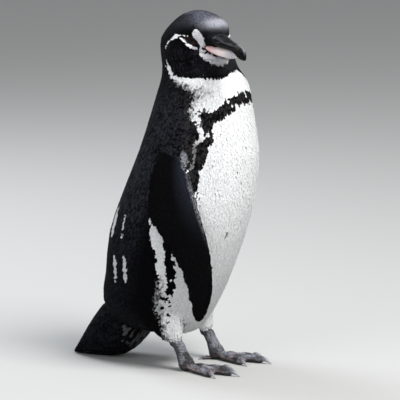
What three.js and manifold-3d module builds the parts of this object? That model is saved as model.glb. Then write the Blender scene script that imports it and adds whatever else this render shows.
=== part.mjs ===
// A Galapagos penguin (Spheniscus mendiculus) standing upright at rest, its head turned to its right.
// Millimetres, +Z up, the bird faces -Y and its left side is +X. The origin is on the floor, under the
// middle of the bird's bounding box. The solids reach out to the tips of the feathers.
import * as THREE from "three";
import { mergeVertices } from "three/addons/utils/BufferGeometryUtils.js";
import Module from "manifold-3d";

const wasm = await Module();
wasm.setup();

// ---- Driving dimensions -------------------------------------------------------------------------
const GAP = 0.3; // clearance where two pieces meet
const ORIGIN = { left: -0.38, ahead: -14.96 }; // the middle of the bounding box, from the bird's own axis

// The whole body from the belly's lowest point to the crown, as level rings. z is the height, ahead and
// left place the ring's middle, depth and width are its half sizes, turn is its heading to the right in
// degrees, and point sharpens its front half (2 is a plain ellipse, less is more pointed).
const BODY = [
  { name: "belly tip", z: 29, ahead: -13, left: 0, depth: 4, width: 4, turn: 0, point: 2 },
  { name: "belly", z: 32, ahead: -16, left: 0, depth: 25, width: 24, turn: 0, point: 2 },
  { name: "vent", z: 41, ahead: -24, left: 0, depth: 42.5, width: 42, turn: 0, point: 2 },
  { name: "thighs", z: 60, ahead: -26, left: 0, depth: 56, width: 55, turn: 0, point: 2 },
  { name: "hips", z: 87, ahead: -18, left: 0, depth: 60.5, width: 60.5, turn: 0, point: 2 },
  { name: "paunch", z: 127, ahead: -8, left: 0, depth: 65.5, width: 64.5, turn: 0, point: 2 },
  { name: "flanks", z: 166, ahead: 4.5, left: 0, depth: 64, width: 61.5, turn: 0, point: 2 },
  { name: "breast", z: 206, ahead: 15, left: 0, depth: 58, width: 54.5, turn: 0, point: 2 },
  { name: "shoulders", z: 240, ahead: 18.5, left: 0, depth: 50, width: 48, turn: 0, point: 2 },
  { name: "neck", z: 262, ahead: 20, left: 0.5, depth: 45, width: 43, turn: 0, point: 2 },
  { name: "throat", z: 276, ahead: 19.5, left: 1, depth: 41.5, width: 37.5, turn: 6, point: 2 },
  { name: "jowls", z: 288, ahead: 15, left: 1.5, depth: 38.5, width: 33.5, turn: 22, point: 2 },
  { name: "cheeks", z: 300, ahead: 12, left: 2, depth: 40, width: 33, turn: 33, point: 1.95 },
  { name: "eyes", z: 314, ahead: 10, left: 2, depth: 37.5, width: 30.5, turn: 33, point: 1.9 },
  { name: "brow", z: 327, ahead: 15, left: 2, depth: 32.5, width: 25.5, turn: 33, point: 1.95 },
  { name: "forecrown", z: 336, ahead: 14.5, left: 2, depth: 19.5, width: 15, turn: 33, point: 2 },
  { name: "crown", z: 340, ahead: 14, left: 2, depth: 6, width: 5, turn: 33, point: 2 },
];
const BODY_AROUND = 35;
const BODY_PER_ROW = 2; // rings from one row of BODY to the next

// Level-headed cuts that part the body: height on the bird's axis and tilt about X in degrees.
const HEAD_CUT = { z: 283, tilt: -8 };
const NECK_CUT = { z: 248, tilt: -14 };

// The head's own frame: the point midway between the eyes, and its heading to the right in degrees.
const HEAD = { left: -13, ahead: 32.5, z: 314.4, turn: 33 };
const EYE = { ahead: -3, side: 16.4, up: 0.1, radius: 6 };

// In front of the eyes the forehead runs down to a point on the bill and the chin runs out below it.
// Rows ahead of the eyes: the upper and lower edge against the eyes' height, and the half width.
const FOREHEAD = [
  { ahead: -14, top: 18, bottom: -5, width: 16 },
  { ahead: -3, top: 17, bottom: 0, width: 13.5 },
  { ahead: 6, top: 14.4, bottom: 3.5, width: 10.5 },
  { ahead: 13, top: 11.6, bottom: 5.5, width: 7.5 },
  { ahead: 20, top: 9, bottom: 7, width: 3.5 },
];
const CHIN = [
  { ahead: -14, top: -8, bottom: -25, width: 19 },
  { ahead: -3, top: -9, bottom: -25.5, width: 17 },
  { ahead: 8, top: -10.5, bottom: -24.5, width: 14 },
  { ahead: 18, top: -12, bottom: -21.5, width: 11 },
  { ahead: 28, top: -12.6, bottom: -18, width: 7 },
  { ahead: 34, top: -13, bottom: -15.6, width: 3 },
];

// Each half of the bill as rows from the face to the tip: ahead of the eyes, its upper and lower edge
// against the eyes' height, and its half width.
const BILL_UPPER = [
  { ahead: 6, top: 9, bottom: -3, width: 9.4 },
  { ahead: 20, top: 8.4, bottom: -4.2, width: 8.8 },
  { ahead: 31, top: 5.2, bottom: -5, width: 7.4 },
  { ahead: 43, top: 2.2, bottom: -5.7, width: 5.8 },
  { ahead: 50, top: 1.2, bottom: -6.6, width: 5 },
  { ahead: 56, top: 0.2, bottom: -11, width: 4.3 },
  { ahead: 62, top: -1.2, bottom: -13, width: 3.4 },
  { ahead: 66.5, top: -4.2, bottom: -13.4, width: 2.2 },
  { ahead: 68.6, top: -8.6, bottom: -13, width: 1 },
];
const BILL_LOWER = [
  { ahead: 6, top: -3.2, bottom: -11.4, width: 9 },
  { ahead: 20, top: -4.4, bottom: -13.2, width: 8 },
  { ahead: 36, top: -5.4, bottom: -13.8, width: 6 },
  { ahead: 47, top: -6.2, bottom: -13, width: 4.2 },
  { ahead: 52.5, top: -7.4, bottom: -11.4, width: 2.2 },
];
const FACE_AROUND = 12;
const FACE_PER_ROW = 1.3;

// A flipper hangs beside the body. Rows run from the shoulder to the tip: height, the leading and
// trailing edges along the chord, the thickness, and the distance of its plane from the bird's axis.
// The right flipper slants forward; back and turn set the left one back and turn it, to hang plumb.
const FLIPPER = [
  { z: 219, lead: 4, trail: -10, thick: 10, out: 47, back: 0, turn: 0 },
  { z: 210, lead: 9.5, trail: -18, thick: 12, out: 54, back: 0, turn: 0 },
  { z: 195, lead: 11.5, trail: -24, thick: 11.5, out: 59.5, back: 1, turn: 2 },
  { z: 180, lead: 15.5, trail: -26.5, thick: 10, out: 62.5, back: 3, turn: 4 },
  { z: 165, lead: 21, trail: -27.5, thick: 9, out: 65, back: 7, turn: 6 },
  { z: 151, lead: 26, trail: -26, thick: 8.2, out: 67, back: 12.5, turn: 8 },
  { z: 134, lead: 31, trail: -13.5, thick: 7.4, out: 68.5, back: 19.5, turn: 10 },
  { z: 115, lead: 34.8, trail: -1.5, thick: 6.6, out: 69.5, back: 27, turn: 12 },
  { z: 96, lead: 36.2, trail: 8, thick: 5.6, out: 70, back: 34, turn: 14 },
  { z: 79, lead: 36, trail: 12.5, thick: 4.8, out: 70, back: 38.5, turn: 15 },
  { z: 66, lead: 32, trail: 15, thick: 4, out: 69.5, back: 39, turn: 15 },
  { z: 58, lead: 28, trail: 17.5, thick: 3.2, out: 69, back: 38.5, turn: 15 },
  { z: 54, lead: 24.5, trail: 20.5, thick: 2.2, out: 68.8, back: 38, turn: 15 },
];
const FLIPPER_FACES = 70; // degrees from straight ahead to the right flipper's outer face
const FLIPPER_AROUND = 14;
const FLIPPER_PER_ROW = 1.2;

// The feathered leg, a lobe that shows below the belly. Rows run down: height, middle and half sizes.
const LEG_SIDE = 31;
const LEG = [
  { z: 92, ahead: -8, depth: 15, width: 12 },
  { z: 76, ahead: -7, depth: 19.5, width: 16.5 },
  { z: 58, ahead: -6, depth: 18.5, width: 16.5 },
  { z: 44, ahead: -4, depth: 16.5, width: 15 },
  { z: 35, ahead: -1.5, depth: 14, width: 12.5 },
  { z: 29.5, ahead: 3, depth: 10, width: 8.5 },
];
const LEG_AROUND = 18;
const LEG_PER_ROW = 1.6;

// The bare foot: the ankle stands on the ball of the foot, where three webbed toes and a small hind toe
// meet. Toe headings are degrees outward from the foot's own heading.
const FOOT_TURN = 2;
const ANKLE = { ahead: 6, z: 29.5 - GAP, radius: 6.2 };
const BALL = { ahead: 18, z: 7.2, radius: 8 };
const TOES = [
  { name: "inner", heading: -26, length: 36, radius: 4, claw: 10 },
  { name: "middle", heading: 0, length: 46, radius: 4.4, claw: 11.5 },
  { name: "outer", heading: 24, length: 36, radius: 4.1, claw: 10 },
];
const HIND_TOE = { name: "hind", heading: -140, length: 13, radius: 2.3, claw: 5.5 };
const TOE_AROUND = 8;
const TOE_STEPS = 5;
const TOE_TAPER = 0.22; // how much thinner a toe is at its end
const TOE_HEIGHTS = [0.88, 0.8, 0.72]; // of a toe's middle line, in its radii, from the ball to the end
const KNUCKLE = 0.1; // how far the two knuckles swell
const CLAW = { steps: 3, around: 6, root: 0.62, tip: 0.35, slim: 0.85 }; // root in the toe's radii
const WEB = { low: 0.5, high: 2.3, reach: 0.78, hollow: 0.62 };

// The tail with its coverts, a wedge that lies on the floor and props the bird up. Rows run back from
// inside the rump to the tip: the wedge's upper and lower edge and its half width.
const TAIL = [
  { ahead: -36, top: 94, bottom: 34, width: 30 },
  { ahead: -50, top: 84, bottom: 14, width: 33 },
  { ahead: -63, top: 74, bottom: 4, width: 32.5 },
  { ahead: -76, top: 63, bottom: 0, width: 30 },
  { ahead: -89, top: 49, bottom: -1, width: 26 },
  { ahead: -100, top: 33, bottom: -1, width: 21.5 },
  { ahead: -110, top: 17, bottom: -1, width: 16 },
  { ahead: -117, top: 6.5, bottom: -0.6, width: 10.5 },
  { ahead: -120.5, top: 1.8, bottom: 0, width: 6 },
];
const TAIL_AROUND = 16;
const TAIL_PER_ROW = 1.4;

const COLOURS = {
  dark: { color: 0x1b1c22, roughness: 0.75 },
  belly: { color: 0xe9e8e4, roughness: 0.8 },
  bill: { color: 0x23211f, roughness: 0.4 },
  billPale: { color: 0xd9c3b4, roughness: 0.45 },
  eye: { color: 0x1a0f0a, roughness: 0.08 },
  foot: { color: 0x3a3a40, roughness: 0.6 },
  claw: { color: 0x26221f, roughness: 0.35 },
};

// ---- Helpers ------------------------------------------------------------------------------------
const radians = THREE.MathUtils.degToRad;
const SIDES = [
  { name: "left", sign: 1 },
  { name: "right", sign: -1 },
];

/** A point given as the bird would: to its left, ahead and up. */
const place = (left, ahead, z) => new THREE.Vector3(left, -ahead, z);

/** The value of one key on a smooth curve through the rows, s counted in rows. */
function smooth(rows, key, s) {
  const i = Math.min(Math.floor(s), rows.length - 2);
  const t = s - i;
  const at = (k) => rows[Math.max(0, Math.min(rows.length - 1, k))][key];
  const [p0, p1, p2, p3] = [at(i - 1), at(i), at(i + 1), at(i + 2)];
  return (
    p1 + 0.5 * t * (p2 - p0 + t * (2 * p0 - 5 * p1 + 4 * p2 - p3 + t * (3 * (p1 - p2) + p3 - p0)))
  );
}

/** The rows of a table read as rings, perRow of them from each row to the next. */
function ringsAlong(rows, perRow, ringAt) {
  const count = Math.round((rows.length - 1) * perRow);
  const rings = [];
  for (let k = 0; k <= count; k++) {
    const s = (k / count) * (rows.length - 1);
    rings.push(ringAt((key) => smooth(rows, key, s)));
  }
  return rings;
}

/** A closed geometry over rings of equally many points, its two ends closed by fans. */
function skinOver(rings) {
  const around = rings[0].length;
  const points = rings.flat();
  const middle = (ring) =>
    ring.reduce((sum, p) => sum.add(p), new THREE.Vector3()).divideScalar(around);
  points.push(middle(rings[0]), middle(rings[rings.length - 1]));
  const [first, last] = [points.length - 2, points.length - 1];
  const index = [];
  for (let j = 0; j < around; j++) {
    const next = (j + 1) % around;
    index.push(first, next, j);
    for (let i = 0; i + 1 < rings.length; i++) {
      const [a, b] = [i * around + j, i * around + next];
      index.push(a, b, b + around, a, b + around, a + around);
    }
    const base = (rings.length - 1) * around;
    index.push(last, base + j, base + next);
  }
  return new THREE.BufferGeometry().setFromPoints(points).setIndex(index);
}

/** The solid of a closed geometry, turned to face out whichever way its rings ran. */
function solidOf(geometry) {
  const bare = geometry.clone();
  bare.deleteAttribute("normal");
  bare.deleteAttribute("uv");
  const merged = mergeVertices(bare, 1e-4);
  const [points, faces] = [merged.attributes.position, new Uint32Array(merged.index.array)];
  const corner = (i) => new THREE.Vector3().fromBufferAttribute(points, faces[i]);
  let volume = 0;
  for (let i = 0; i < faces.length; i += 3) {
    volume += corner(i).dot(corner(i + 1).cross(corner(i + 2)));
  }
  if (volume < 0) {
    for (let i = 0; i < faces.length; i += 3) {
      [faces[i + 1], faces[i + 2]] = [faces[i + 2], faces[i + 1]];
    }
  }
  return new wasm.Manifold(
    new wasm.Mesh({ numProp: 3, vertProperties: points.array, triVerts: faces }),
  );
}

/** A named mesh of a solid. */
function meshOf(name, solid, colour) {
  const { vertProperties, triVerts } = solid.getMesh();
  const geometry = new THREE.BufferGeometry()
    .setAttribute("position", new THREE.BufferAttribute(vertProperties, 3))
    .setIndex(new THREE.BufferAttribute(triVerts, 1));
  geometry.computeVertexNormals();
  const mesh = new THREE.Mesh(geometry, new THREE.MeshStandardMaterial(COLOURS[colour]));
  mesh.name = name;
  return mesh;
}

/** A box solid, turned about X by tilt degrees. */
function boxSolid(size, centre, tilt = 0) {
  const box = new THREE.BoxGeometry(...size).rotateX(radians(tilt));
  return solidOf(box.translate(...centre.toArray()));
}

/** The largest shell of a solid: sealed hollows and crumbs are dropped. */
const largestShell = (solid) => solid.decompose().sort((a, b) => b.volume() - a.volume())[0];

const belowFloor = boxSolid([900, 900, 200], place(0, 0, -100));

// ---- Body, head and neck ------------------------------------------------------------------------

/** One level ring of the body. grow moves its skin outward. */
function bodyRing(read, grow) {
  const [depth, width, point] = [read("depth") + grow, read("width") + grow, read("point")];
  const heading = radians(read("turn"));
  const ring = [];
  for (let j = 0; j < BODY_AROUND; j++) {
    const angle = (j / BODY_AROUND) * 2 * Math.PI;
    const [c, s] = [Math.cos(angle), Math.sin(angle)];
    const power = c > 0 ? point : 2;
    const reach = (Math.abs(c) ** power + Math.abs(s) ** power) ** (-1 / power);
    const [ahead, left] = [depth * reach * c, width * reach * s];
    ring.push(
      place(
        read("left") + left * Math.cos(heading) - ahead * Math.sin(heading),
        read("ahead") + ahead * Math.cos(heading) + left * Math.sin(heading),
        read("z"),
      ),
    );
  }
  return ring;
}

/** A thin slab that parts the body at a cut. */
const cutSlab = ({ z, tilt }) => boxSolid([300, 300, GAP], place(0, 18, z), tilt);

/** A point of the head's own frame: ahead of, to the left of and above the eyes' middle. */
function headPlace(ahead, left, up) {
  const turned = new THREE.Vector3(left, -ahead, up);
  turned.applyAxisAngle(new THREE.Vector3(0, 0, 1), radians(-HEAD.turn));
  return turned.add(place(HEAD.left, HEAD.ahead, HEAD.z));
}

function eyeSolid(sign, grow) {
  const ball = new THREE.SphereGeometry(EYE.radius + grow, 12, 8);
  return solidOf(ball.translate(...headPlace(EYE.ahead, sign * EYE.side, EYE.up).toArray()));
}

/** One ring of the forehead, the chin or the bill, standing across it. */
function faceRing(read, grow) {
  const [top, bottom, width] = [read("top") + grow, read("bottom") - grow, read("width") + grow];
  const ring = [];
  for (let j = 0; j < FACE_AROUND; j++) {
    const angle = (j / FACE_AROUND) * 2 * Math.PI;
    const up = (top + bottom) / 2 + ((top - bottom) / 2) * Math.cos(angle);
    ring.push(headPlace(read("ahead"), width * Math.sin(angle), up));
  }
  return ring;
}

const faceSolid = (rows, grow) =>
  solidOf(skinOver(ringsAlong(rows, FACE_PER_ROW, (read) => faceRing(read, grow))));

/** The body with its forehead and chin, grown outward by grow. */
const bodySolid = (grow) =>
  solidOf(skinOver(ringsAlong(BODY, BODY_PER_ROW, (read) => bodyRing(read, grow))))
    .add(faceSolid(FOREHEAD, grow))
    .add(faceSolid(CHIN, grow));

// ---- Flippers -----------------------------------------------------------------------------------

/** One section of a flipper: a thin wing section, thickest near its leading edge. */
function flipperRing(read, sign) {
  const swung = sign > 0 ? 1 : 0;
  const facing = radians(FLIPPER_FACES + swung * read("turn"));
  const [lead, trail, thick, out] = ["lead", "trail", "thick", "out"].map(read);
  const ring = [];
  for (let j = 0; j < FLIPPER_AROUND; j++) {
    const angle = (j / FLIPPER_AROUND) * 2 * Math.PI;
    const share = (1 - Math.cos(angle)) / 2; // 0 at the leading edge, 1 at the trailing edge
    const chord = lead + (trail - lead) * share;
    const half = (thick / 2) * (1 - 0.72 * share);
    const off = out + half * Math.sin(angle);
    ring.push(
      place(
        sign * (off * Math.sin(facing) - chord * Math.cos(facing)),
        off * Math.cos(facing) + chord * Math.sin(facing) - swung * read("back"),
        read("z"),
      ),
    );
  }
  return ring;
}

const flipperSolid = (sign) =>
  solidOf(skinOver(ringsAlong(FLIPPER, FLIPPER_PER_ROW, (read) => flipperRing(read, sign))));

// ---- Legs and feet ------------------------------------------------------------------------------

/** A ring round a direction: half sizes across (level) and upright. */
function ringRound(centre, along, across, upright, count) {
  const side = new THREE.Vector3(0, 0, 1).cross(along).normalize();
  const up = along.clone().cross(side).normalize();
  const ring = [];
  for (let j = 0; j < count; j++) {
    const angle = (j / count) * 2 * Math.PI;
    ring.push(
      centre
        .clone()
        .addScaledVector(side, across * Math.cos(angle))
        .addScaledVector(up, upright * Math.sin(angle)),
    );
  }
  return ring;
}

function legSolid(sign, grow) {
  const ringAt = (read) => {
    const ring = [];
    for (let j = 0; j < LEG_AROUND; j++) {
      const angle = (j / LEG_AROUND) * 2 * Math.PI;
      const left = sign * LEG_SIDE + (read("width") + grow) * Math.sin(angle);
      ring.push(place(left, read("ahead") + (read("depth") + grow) * Math.cos(angle), read("z")));
    }
    return ring;
  };
  return solidOf(skinOver(ringsAlong(LEG, LEG_PER_ROW, ringAt)));
}

/** The level direction of a heading in degrees, outward from straight ahead on that side. */
function headingOf(sign, degrees) {
  const angle = radians(degrees);
  return place(sign * Math.sin(angle), Math.cos(angle), 0);
}

/** Where a toe's line starts, under the ball of the foot. */
const toeRoot = (sign) => place(sign * LEG_SIDE, BALL.ahead, 0);

/** A toe's line, low enough for its pads to be pressed flat on the floor. */
function toeCurve(sign, toe) {
  const along = headingOf(sign, FOOT_TURN + toe.heading);
  const at = (share, z) =>
    toeRoot(sign).addScaledVector(along, share * toe.length).setZ(z);
  return new THREE.CatmullRomCurve3([
    at(0, BALL.z - 1.5),
    ...TOE_HEIGHTS.map((height, i) => at((i + 1) / TOE_HEIGHTS.length, toe.radius * height)),
  ]);
}

function toeSolid(sign, toe) {
  const curve = toeCurve(sign, toe);
  const rings = [];
  for (let k = 0; k <= TOE_STEPS; k++) {
    const t = k / TOE_STEPS;
    const knuckle = 1 + KNUCKLE * Math.cos(t * 4 * Math.PI);
    const radius = toe.radius * (1 - TOE_TAPER * t) * knuckle;
    const along = curve.getTangentAt(t).setZ(0).normalize();
    rings.push(ringRound(curve.getPointAt(t), along, radius, radius, TOE_AROUND));
  }
  return solidOf(skinOver(rings));
}

/** A claw: a tapering hook that starts just past its toe's end and comes down to the floor. */
function clawSolid(sign, toe) {
  const along = headingOf(sign, FOOT_TURN + toe.heading);
  const end = toeCurve(sign, toe).getPoint(1);
  const rings = [];
  for (let k = 0; k <= CLAW.steps; k++) {
    const t = k / CLAW.steps;
    const centre = end.clone().addScaledVector(along, GAP + toe.claw * t);
    const radius = toe.radius * CLAW.root * (1 - t) ** 0.8 + CLAW.tip;
    centre.z = Math.max(end.z + toe.radius * (0.2 + 0.6 * t - 1.5 * t * t), radius * 0.8);
    rings.push(ringRound(centre, along, radius * CLAW.slim, radius, CLAW.around));
  }
  return solidOf(skinOver(rings)).subtract(belowFloor);
}

/** The web between two toes: a thin sheet with a hollow front edge. */
function webSolid(sign, first, second) {
  const root = toeRoot(sign);
  const tip = (toe) =>
    toeRoot(sign).addScaledVector(
      headingOf(sign, FOOT_TURN + toe.heading),
      toe.length * WEB.reach,
    );
  const [a, b] = [tip(first), tip(second)];
  const hollow = a.clone().add(b).multiplyScalar(0.5).sub(root).multiplyScalar(WEB.hollow).add(root);
  const outline = new THREE.Shape().moveTo(root.x, root.y).lineTo(a.x, a.y);
  outline.quadraticCurveTo(hollow.x, hollow.y, b.x, b.y).closePath();
  const depth = WEB.high - WEB.low;
  const sheet = new THREE.ExtrudeGeometry(outline, { depth, bevelEnabled: false, curveSegments: 8 });
  return solidOf(sheet.translate(0, 0, WEB.low));
}

/** The bare shank, the ball of the foot, the toes and the webs as one piece on small flats. */
function footSolid(sign) {
  const line = new THREE.CatmullRomCurve3([
    place(sign * LEG_SIDE, ANKLE.ahead, ANKLE.z),
    place(sign * LEG_SIDE, (ANKLE.ahead + BALL.ahead) / 2, (ANKLE.z + BALL.z) / 2 + 1),
    place(sign * LEG_SIDE, BALL.ahead, BALL.z),
  ]);
  const radii = [ANKLE.radius, ANKLE.radius * 0.95, ANKLE.radius, BALL.radius];
  const ringAt = (t) => {
    const radius = radii[Math.round(t * (radii.length - 1))];
    const centre = line.getPoint(t);
    const ring = [];
    for (let j = 0; j < TOE_AROUND + 2; j++) {
      const angle = (j / (TOE_AROUND + 2)) * 2 * Math.PI;
      const [c, s] = [radius * Math.cos(angle), radius * Math.sin(angle)];
      ring.push(new THREE.Vector3(centre.x + s, centre.y - c, centre.z));
    }
    return ring;
  };
  const shank = solidOf(skinOver([0, 1 / 3, 2 / 3, 1].map(ringAt)));
  const ball = new THREE.SphereGeometry(BALL.radius, 12, 6);
  const centre = place(sign * LEG_SIDE, BALL.ahead, BALL.z);
  let foot = shank.add(solidOf(ball.translate(...centre.toArray())));
  for (const toe of [...TOES, HIND_TOE]) foot = foot.add(toeSolid(sign, toe));
  for (let i = 0; i + 1 < TOES.length; i++) {
    foot = foot.add(webSolid(sign, TOES[i], TOES[i + 1]));
  }
  return largestShell(foot.subtract(belowFloor));
}

// ---- Tail ---------------------------------------------------------------------------------------

function tailSolid() {
  const ringAt = (read) => {
    const ring = [];
    for (let j = 0; j < TAIL_AROUND; j++) {
      const angle = (j / TAIL_AROUND) * 2 * Math.PI;
      const z = (read("top") + read("bottom")) / 2;
      const half = (read("top") - read("bottom")) / 2;
      ring.push(
        place(read("width") * Math.sin(angle), read("ahead"), z + half * Math.cos(angle)),
      );
    }
    return ring;
  };
  return solidOf(skinOver(ringsAlong(TAIL, TAIL_PER_ROW, ringAt))).subtract(belowFloor);
}

// ---- The bird -----------------------------------------------------------------------------------
const penguin = new THREE.Group();
penguin.position.copy(place(-ORIGIN.left, -ORIGIN.ahead, 0));
const add = (name, solid, colour) => penguin.add(meshOf(name, solid, colour));

const grownBody = bodySolid(GAP);
const upper = faceSolid(BILL_UPPER, 0);
const lower = faceSolid(BILL_LOWER, 0).subtract(upper.add(upper.translate([0, 0, -GAP])));

let body = bodySolid(0);
for (const { sign } of SIDES) {
  body = body.subtract(eyeSolid(sign, GAP)).subtract(legSolid(sign, GAP));
}
const parted = body.subtract(cutSlab(HEAD_CUT)).subtract(cutSlab(NECK_CUT)).decompose();
const midHeight = (part) => (part.boundingBox().min[2] + part.boundingBox().max[2]) / 2;
const [trunk, neck, head] = parted.sort((a, b) => midHeight(a) - midHeight(b));

add("trunk", trunk, "belly");
add("neck", neck, "dark");
add("head", head, "dark");
add("bill_upper", upper.subtract(grownBody), "bill");
add("bill_lower", lower.subtract(grownBody), "billPale");
add("tail", tailSolid().subtract(grownBody), "dark");
for (const { name, sign } of SIDES) {
  add(`eye_${name}`, eyeSolid(sign, 0), "eye");
  add(`flipper_${name}`, flipperSolid(sign).subtract(grownBody), "dark");
  add(`leg_${name}`, legSolid(sign, 0), "belly");
  add(`foot_${name}`, footSolid(sign), "foot");
  for (const toe of [...TOES, HIND_TOE]) {
    add(`claw_${name}_${toe.name}`, clawSolid(sign, toe), "claw");
  }
}

export default penguin;
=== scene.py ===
"""A Galapagos penguin over its CAD frame: one skin, a coat of solid feathers, bill, eyes and claws.

Lengths in the tables are millimetres in the bird's own axes (left, ahead, up), which stand on the
floor at BIRD_AXIS of the row frame. to_row takes them to the row frame's metres.
"""

import math

import bpy
import numpy as np
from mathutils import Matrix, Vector
from mathutils.bvhtree import BVHTree
from mathutils.kdtree import KDTree


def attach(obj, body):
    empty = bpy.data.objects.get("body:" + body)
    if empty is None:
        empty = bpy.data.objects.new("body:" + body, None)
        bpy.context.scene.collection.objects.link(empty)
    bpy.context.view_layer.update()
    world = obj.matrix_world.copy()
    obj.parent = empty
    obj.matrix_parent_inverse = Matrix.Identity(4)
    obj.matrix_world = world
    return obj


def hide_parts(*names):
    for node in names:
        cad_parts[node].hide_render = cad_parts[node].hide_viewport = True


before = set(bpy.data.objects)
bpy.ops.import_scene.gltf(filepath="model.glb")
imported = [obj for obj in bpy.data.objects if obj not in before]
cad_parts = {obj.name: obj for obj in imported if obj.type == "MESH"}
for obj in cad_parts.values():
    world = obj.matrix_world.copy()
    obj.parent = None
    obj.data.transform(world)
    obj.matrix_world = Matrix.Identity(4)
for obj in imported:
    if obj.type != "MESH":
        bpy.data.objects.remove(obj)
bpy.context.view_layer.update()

BIRD_AXIS = (0.00038, -0.01496)
HEAD_CENTRE = np.array([-13.0, 32.5, 314.4])  # midway between the eyes
HEAD_TURN = math.radians(33)  # the head's heading, to the bird's right
SIDES = (("left", 1), ("right", -1))

rng = np.random.default_rng(41)


# ---- Frames and small helpers --------------------------------------------------------------------
def to_bird(points):
    """Row-frame metres to the bird's millimetres."""
    p = np.asarray(points, dtype=float) * 1000
    return np.stack([p[:, 0] - BIRD_AXIS[0] * 1000, BIRD_AXIS[1] * 1000 - p[:, 1], p[:, 2]], axis=1)


def to_row(points):
    """The bird's millimetres to row-frame metres."""
    p = np.asarray(points, dtype=float) / 1000
    return np.stack([p[:, 0] + BIRD_AXIS[0], BIRD_AXIS[1] - p[:, 1], p[:, 2]], axis=1)


def to_head(bird):
    """The bird's millimetres to ahead of, left of and above the eyes' middle, along the head."""
    d = bird - HEAD_CENTRE
    c, s = math.cos(HEAD_TURN), math.sin(HEAD_TURN)
    return np.stack([d[:, 1] * c - d[:, 0] * s, d[:, 0] * c + d[:, 1] * s, d[:, 2]], axis=1)


def turned_head(local):
    """Directions of the head's frame (ahead, left, up) in the bird's axes."""
    v = np.asarray(local, dtype=float)
    c, s = math.cos(HEAD_TURN), math.sin(HEAD_TURN)
    left = v[..., 1] * c - v[..., 0] * s
    ahead = v[..., 0] * c + v[..., 1] * s
    return np.stack([left, ahead, v[..., 2]], axis=-1)


def from_head(local):
    """Points of the head's frame in the bird's axes, which mirrors them."""
    return turned_head(local) + HEAD_CENTRE


def unit(v):
    return v / np.maximum(np.linalg.norm(v, axis=-1, keepdims=True), 1e-12)


def step(low, high, x):
    """0 on the low side, 1 on the high side, smooth between; high may be the smaller number."""
    t = np.clip((x - low) / (high - low), 0, 1)
    return t * t * (3 - 2 * t)


def mix(a, b, t):
    """From a at t = 0 to b at t = 1, for values with a last axis of their own."""
    t = np.asarray(t, dtype=float)[..., None]
    return np.asarray(a) * (1 - t) + np.asarray(b) * t


def between(table, x, column=1):
    """A column of the table, read at x along its first column."""
    rows = np.array(table, dtype=float)
    return np.interp(x, rows[:, 0], rows[:, column])


def wander(points, size, seed):
    """Smooth noise from -1 to 1 with lumps of about that many millimetres."""
    p = points / size + seed * 17.31
    cell = np.floor(p).astype(np.int64)
    share = p - cell
    share = share * share * (3 - 2 * share)
    total = np.zeros(len(p))
    for corner in range(8):
        shift = np.array([corner & 1, corner >> 1 & 1, corner >> 2])
        x, y, z = (cell + shift).T
        mixed = (x * 73856093) ^ (y * 19349663) ^ (z * 83492791) ^ (seed * 2654435761)
        mixed = ((mixed ^ (mixed >> 13)) * 1274126177) & 0xFFFFFFFF
        mixed = ((mixed ^ (mixed >> 15)) * 2246822519) & 0xFFFFFFFF
        weight = np.prod(np.where(shift, share, 1 - share), axis=1)
        total += weight * (mixed / 0xFFFFFFFF * 2 - 1)
    return total


def new_object(name, bird_points, tris):
    """A smooth mesh object from the bird's millimetres and faces that face out there."""
    faces = np.ascontiguousarray(tris[:, ::-1], dtype=np.int32)
    mesh = bpy.data.meshes.new(name)
    mesh.vertices.add(len(bird_points))
    mesh.vertices.foreach_set("co", to_row(bird_points).astype(np.float32).ravel())
    mesh.loops.add(faces.size)
    mesh.loops.foreach_set("vertex_index", faces.ravel())
    mesh.polygons.add(len(faces))
    mesh.polygons.foreach_set("loop_start", np.arange(0, faces.size, faces.shape[1], dtype=np.int32))
    mesh.update(calc_edges=True)
    mesh.polygons.foreach_set("use_smooth", np.ones(len(faces), dtype=bool))
    obj = bpy.data.objects.new(name, mesh)
    bpy.context.collection.objects.link(obj)
    return obj


def mesh_arrays(mesh):
    """A mesh's points in the bird's millimetres and its triangles, facing out there."""
    flat = np.empty(len(mesh.vertices) * 3)
    mesh.vertices.foreach_get("co", flat)
    mesh.calc_loop_triangles()
    corners = np.empty(len(mesh.loop_triangles) * 3, dtype=np.int32)
    mesh.loop_triangles.foreach_get("vertices", corners)
    return to_bird(flat.reshape(-1, 3)), corners.reshape(-1, 3)[:, ::-1].copy()


def joined(parts):
    """Several (points, faces) as one."""
    points, faces, start = [], [], 0
    for p, f in parts:
        points.append(p)
        faces.append(f + start)
        start += len(p)
    return np.concatenate(points), np.concatenate(faces)


def vertex_normals(points, tris):
    """Area-weighted normals."""
    a, b, c = (points[tris[:, k]] for k in range(3))
    face = np.cross(b - a, c - a)
    total = np.zeros_like(points)
    for k in range(3):
        for axis in range(3):
            total[:, axis] += np.bincount(tris[:, k], face[:, axis], len(points))
    return unit(total)


def edges_of(tris):
    """Each edge once, as a pair of points."""
    pairs = np.sort(np.concatenate([tris[:, [0, 1]], tris[:, [1, 2]], tris[:, [2, 0]]]), axis=1)
    return np.unique(pairs, axis=0)


def relax(values, edges, rounds, back=0.0):
    """Averages rows of values over the mesh's edges; back undoes the shrinking after each round."""
    i, j = edges.T
    count = np.maximum(np.bincount(i, minlength=len(values)) + np.bincount(j, minlength=len(values)), 1)
    for _ in range(rounds):
        for share in (0.5, -back) if back else (0.5,):
            total = np.empty_like(values)
            for axis, column in enumerate(values.T):
                total[:, axis] = np.bincount(i, column[j], len(values))
                total[:, axis] += np.bincount(j, column[i], len(values))
            values = values + share * (total / count[:, None] - values)
    return values


def paint(mesh, name, colours):
    """A colour for each vertex, as an attribute that a material reads."""
    rgba = np.ones((len(mesh.vertices), 4), dtype=np.float32)
    rgba[:, :3] = colours
    attribute = mesh.color_attributes.new(name=name, type="FLOAT_COLOR", domain="POINT")
    attribute.data.foreach_set("color", rgba.ravel())


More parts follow.
